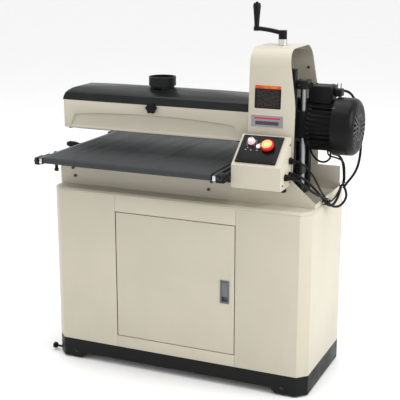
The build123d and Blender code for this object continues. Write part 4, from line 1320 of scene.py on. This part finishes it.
@dataclass
class Column:
    """The column, its cover, the guide post, the lead screw and the labels.

    Sizes are in millimetres. A label is its ends across, its low and high edge, its thickness
    and its corners' radius. The cover's front runs from a foot to a top, each a height and how
    far it leans out there.
    """

    front_foot: tuple[float, float] = (762.0, 150.0)
    front_top: tuple[float, float] = (1143.0, 128.0)
    notice: tuple = ((268, 362), (1002, 1080), 0.5, 3.0)
    badge: tuple = ((257, 374), (938, 981), 1.2, 5.0)
    clamp_heights: tuple[float, ...] = (725, 789, 1083)
    post: tuple[float, float] = (417, -60)
    thread_radius: float = 10.05
    thread_wire: float = 0.3
    thread_z: float = 1021.0
    thread_length: float = 45.0
    thread_pitch: float = 2.0

    def depth(self, z: float) -> float:
        """How far the cover's front leans out from the middle at a height, in millimetres."""
        (low, foot), (high, top) = self.front_foot, self.front_top
        return foot + (top - foot) * (z - low) / (high - low)

    def sheet(
        self, x: tuple[float, float], z: tuple[float, float], thick: float, corner: float
    ) -> bpy.types.Mesh:
        """A thin plate on the cover's front, with a UV map that spans its face.

        Args:
            x: its ends across the machine, in millimetres.
            z: its low and high edge.
            thick: its thickness.
            corner: radius of its corners.

        Returns:
            The mesh.
        """
        steps, edge = 6, 0.35
        outline = []
        centres = ((x[1] - corner, z[1] - corner), (x[0] + corner, z[1] - corner))
        centres += ((x[0] + corner, z[0] + corner), (x[1] - corner, z[0] + corner))
        for quarter, (cx, cz) in enumerate(centres):
            for k in range(steps + 1):
                angle = math.pi / 2 * (quarter + k / steps)
                outline.append((cx, cz, math.cos(angle), math.sin(angle)))
        made = bmesh.new()
        rings = []
        for inset, out in ((0.0, -0.3), (0.0, thick - edge), (edge, thick)):
            r = corner - inset
            spots = [(cx + r * c, cz + r * s) for cx, cz, c, s in outline]
            rings.append([made.verts.new(at(u, -self.depth(v) - out, v)) for u, v in spots])
        made.faces.new(rings[0])
        made.faces.new(rings[-1])
        bridge(made, rings)
        bmesh.ops.recalc_face_normals(made, faces=made.faces)
        layer = made.loops.layers.uv.new("sheet")
        corner_low = at(x[0], 0, z[0])
        for face in made.faces:
            for loop in face.loops:
                offset = (loop.vert.co - corner_low) / MM
                loop[layer].uv = (offset.x / (x[1] - x[0]), offset.z / (z[1] - z[0]))
        return smooth(mesh_from(made, "sheet"), 30)

    def labels(self) -> None:
        """The printed notice and, under it, the wide silver plate."""
        notice, badge = self.sheet(*self.notice), self.sheet(*self.badge)
        piece("printed_notice", notice, Paint.NOTICE, "root", ("label_plates",))
        piece("silver_badge", badge, Paint.BADGE, "root", ("label_plates",))

    def screws(self) -> None:
        """The clamps' socket screws and the cover's rear screws."""
        clamps = [(at(412, -100, z), FRONT) for z in self.clamp_heights]
        outside = [(0, SUNK), (4.2, SUNK), (4.2, 3.6), (3.8, 4.0)]
        socket = turned([*outside, (2.2, 4.0), (2.2, 1.8), (0, 1.8)], 24)
        fasteners("clamp_screws", socket, Paint.BOLT, "root", clamps)
        leaning = REAR + UP * 0.055
        rear = [(at(x, self.depth(z), z), leaning) for x in (262, 398) for z in (790, 990)]
        rear.append((at(374, 126.5, 1116), FRONT))
        fasteners("cover_screws", pan_head(4.6, 2.6, 2.4), Paint.BOLT, "root", rear)

    def post_thread(self) -> None:
        """The thread on the guide post's upper part, clear of the carriage through its lift."""
        coil = coil_tree(Paint.THREAD, 5).run(
            None, Radius=self.thread_radius * MM, Wire=self.thread_wire * MM, Steps=24,
            Length=self.thread_length * MM, Turns=self.thread_length / self.thread_pitch)
        mesh = placed(smooth(coil, 60), at(*self.post, self.thread_z))
        piece("post_thread", mesh, Paint.THREAD, "root")

    def build(self) -> None:
        """Makes the column."""
        self.labels()
        self.screws()
        self.post_thread()
        eased("column_frame", 2.0, shortest=20)
        eased("column_cover", 0.5, shortest=30)
        eased("post_brackets", 1.0, shortest=14)
        for node in ("guide_post", "lead_screw", "crank_arm", "crank_grip"):
            eased(node)


@dataclass
class Controls:
    """The control box, its panel, the knob, the buttons and the glands.

    Sizes are in millimetres. A place on the panel is across and up its slope, and a printed bar
    is its place and its length.
    """

    screws_x: tuple[float, float] = (251, 379)
    screws_along: tuple[float, float] = (19, 123)
    side_screws: tuple = ((-240, 765), (-166, 890), (-166, 762))
    ticks: int = 11
    tick_radius: float = 17.5
    tick: tuple[float, float] = (3.4, 0.9)
    ink: float = 0.12
    bars: tuple = ((267, 65, 5), (272, 74, 3), (286, 64, 5), (307, 65, 7), (309, 95, 6))
    bar_width: float = 1.3

    def build(self) -> None:
        """Makes the controls."""
        eased("control_box", 2.0, shortest=20, steps=3)
        eased("control_panel", 0.6, shortest=20)
        for node in ("speed_knob", "stop_button", "start_button", "cable_glands"):
            eased(node)
        self.dial_ticks()
        self.ink_marks()
        out = on_panel(0, 0, 1) - on_panel(0, 0, 0)
        spots = [(x, along) for x in self.screws_x for along in self.screws_along]
        places = [(on_panel(*spot, PANEL_FACE), out) for spot in spots]
        fasteners("panel_screws", pan_head(2.8, 1.5, 1.6), Paint.BOLT, "root", places)
        sides = [(at(408, y, z), ACROSS) for y, z in self.side_screws]
        fasteners("box_screws", pan_head(3.4, 2.2, 1.9), Paint.BOLT, "root", sides)

    def printed(self, x: float, along: float) -> Matrix:
        """The place of something printed on the panel, turned to its slope."""
        turn = Matrix.Rotation(PANEL_SLOPE, 4, "X")
        return Matrix.Translation(on_panel(x, along, PANEL_FACE)) @ turn

    def dial_ticks(self) -> None:
        """The printed ticks round the speed knob."""
        long, wide = self.tick
        ticks = ring_tree(Paint.INK).run(
            None, Count=self.ticks, Radius=self.tick_radius * MM, Start=-math.pi / 4,
            Sweep=1.5 * math.pi, Length=long * MM, Width=wide * MM, Height=self.ink * MM)
        ticks.transform(self.printed(*DIAL_PLACE))
        piece("dial_ticks", ticks, Paint.INK, "root")

    def ink_marks(self) -> None:
        """The short printed bars under the knob and by the start button."""
        made = bmesh.new()
        for x, along, wide in self.bars:
            add_block(made, self.printed(x, along), (wide, self.bar_width, self.ink))
        piece("ink_marks", mesh_from(made, "ink_marks"), Paint.INK, "root")


@dataclass
class Motor:
    """The finned motor, its fan cover and its terminal box. Sizes in mm."""

    terminal_x: tuple[float, float] = (439, 495)
    terminal_y: tuple[float, float] = (-27, 27)
    terminal_z: float = 1074.0
    rim_x: float = 526.5
    rim_radius: float = 99.0

    def build(self) -> None:
        """Makes the motor."""
        eased("motor_housing")
        eased("fan_cover")
        eased("terminal_box", 2.0, shortest=20)
        places = [(at(x, y, self.terminal_z), UP) for x in self.terminal_x for y in self.terminal_y]
        head = pan_head(3.2, 2.2, 1.8)
        fasteners("terminal_screws", head, Paint.BOLT, "head", places)
        rim = []
        for k in range(4):
            angle = math.radians(45 + 90 * k)
            out = Vector((0, math.cos(angle), math.sin(angle)))
            rim.append((at(self.rim_x, 0, DRUM_AXIS) + out * self.rim_radius * MM, out))
        fasteners("fan_cover_screws", hex_head(3.6, 3.2), Paint.BOLT, "head", rim)


def dress_rest() -> None:
    """Gives every node that still shows the finish of its slot."""
    for node, made in frame["nodes"].items():
        made.data.materials.clear()
        made.data.materials.append(SLOT_FINISH[NODE_SLOT[node]].material())


def main() -> None:
    """Builds the studio and the machine in order."""
    logging.basicConfig(level=logging.INFO, format="%(name)s: %(message)s")
    for part in (Studio(), Leads(), Stand(), Bed(), Head(), Column(), Controls(), Motor()):
        part.build()
        LOG.info("%s done, %d pieces so far", type(part).__name__, len(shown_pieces()))
    dress_rest()


if __name__ == "__main__":
    main()
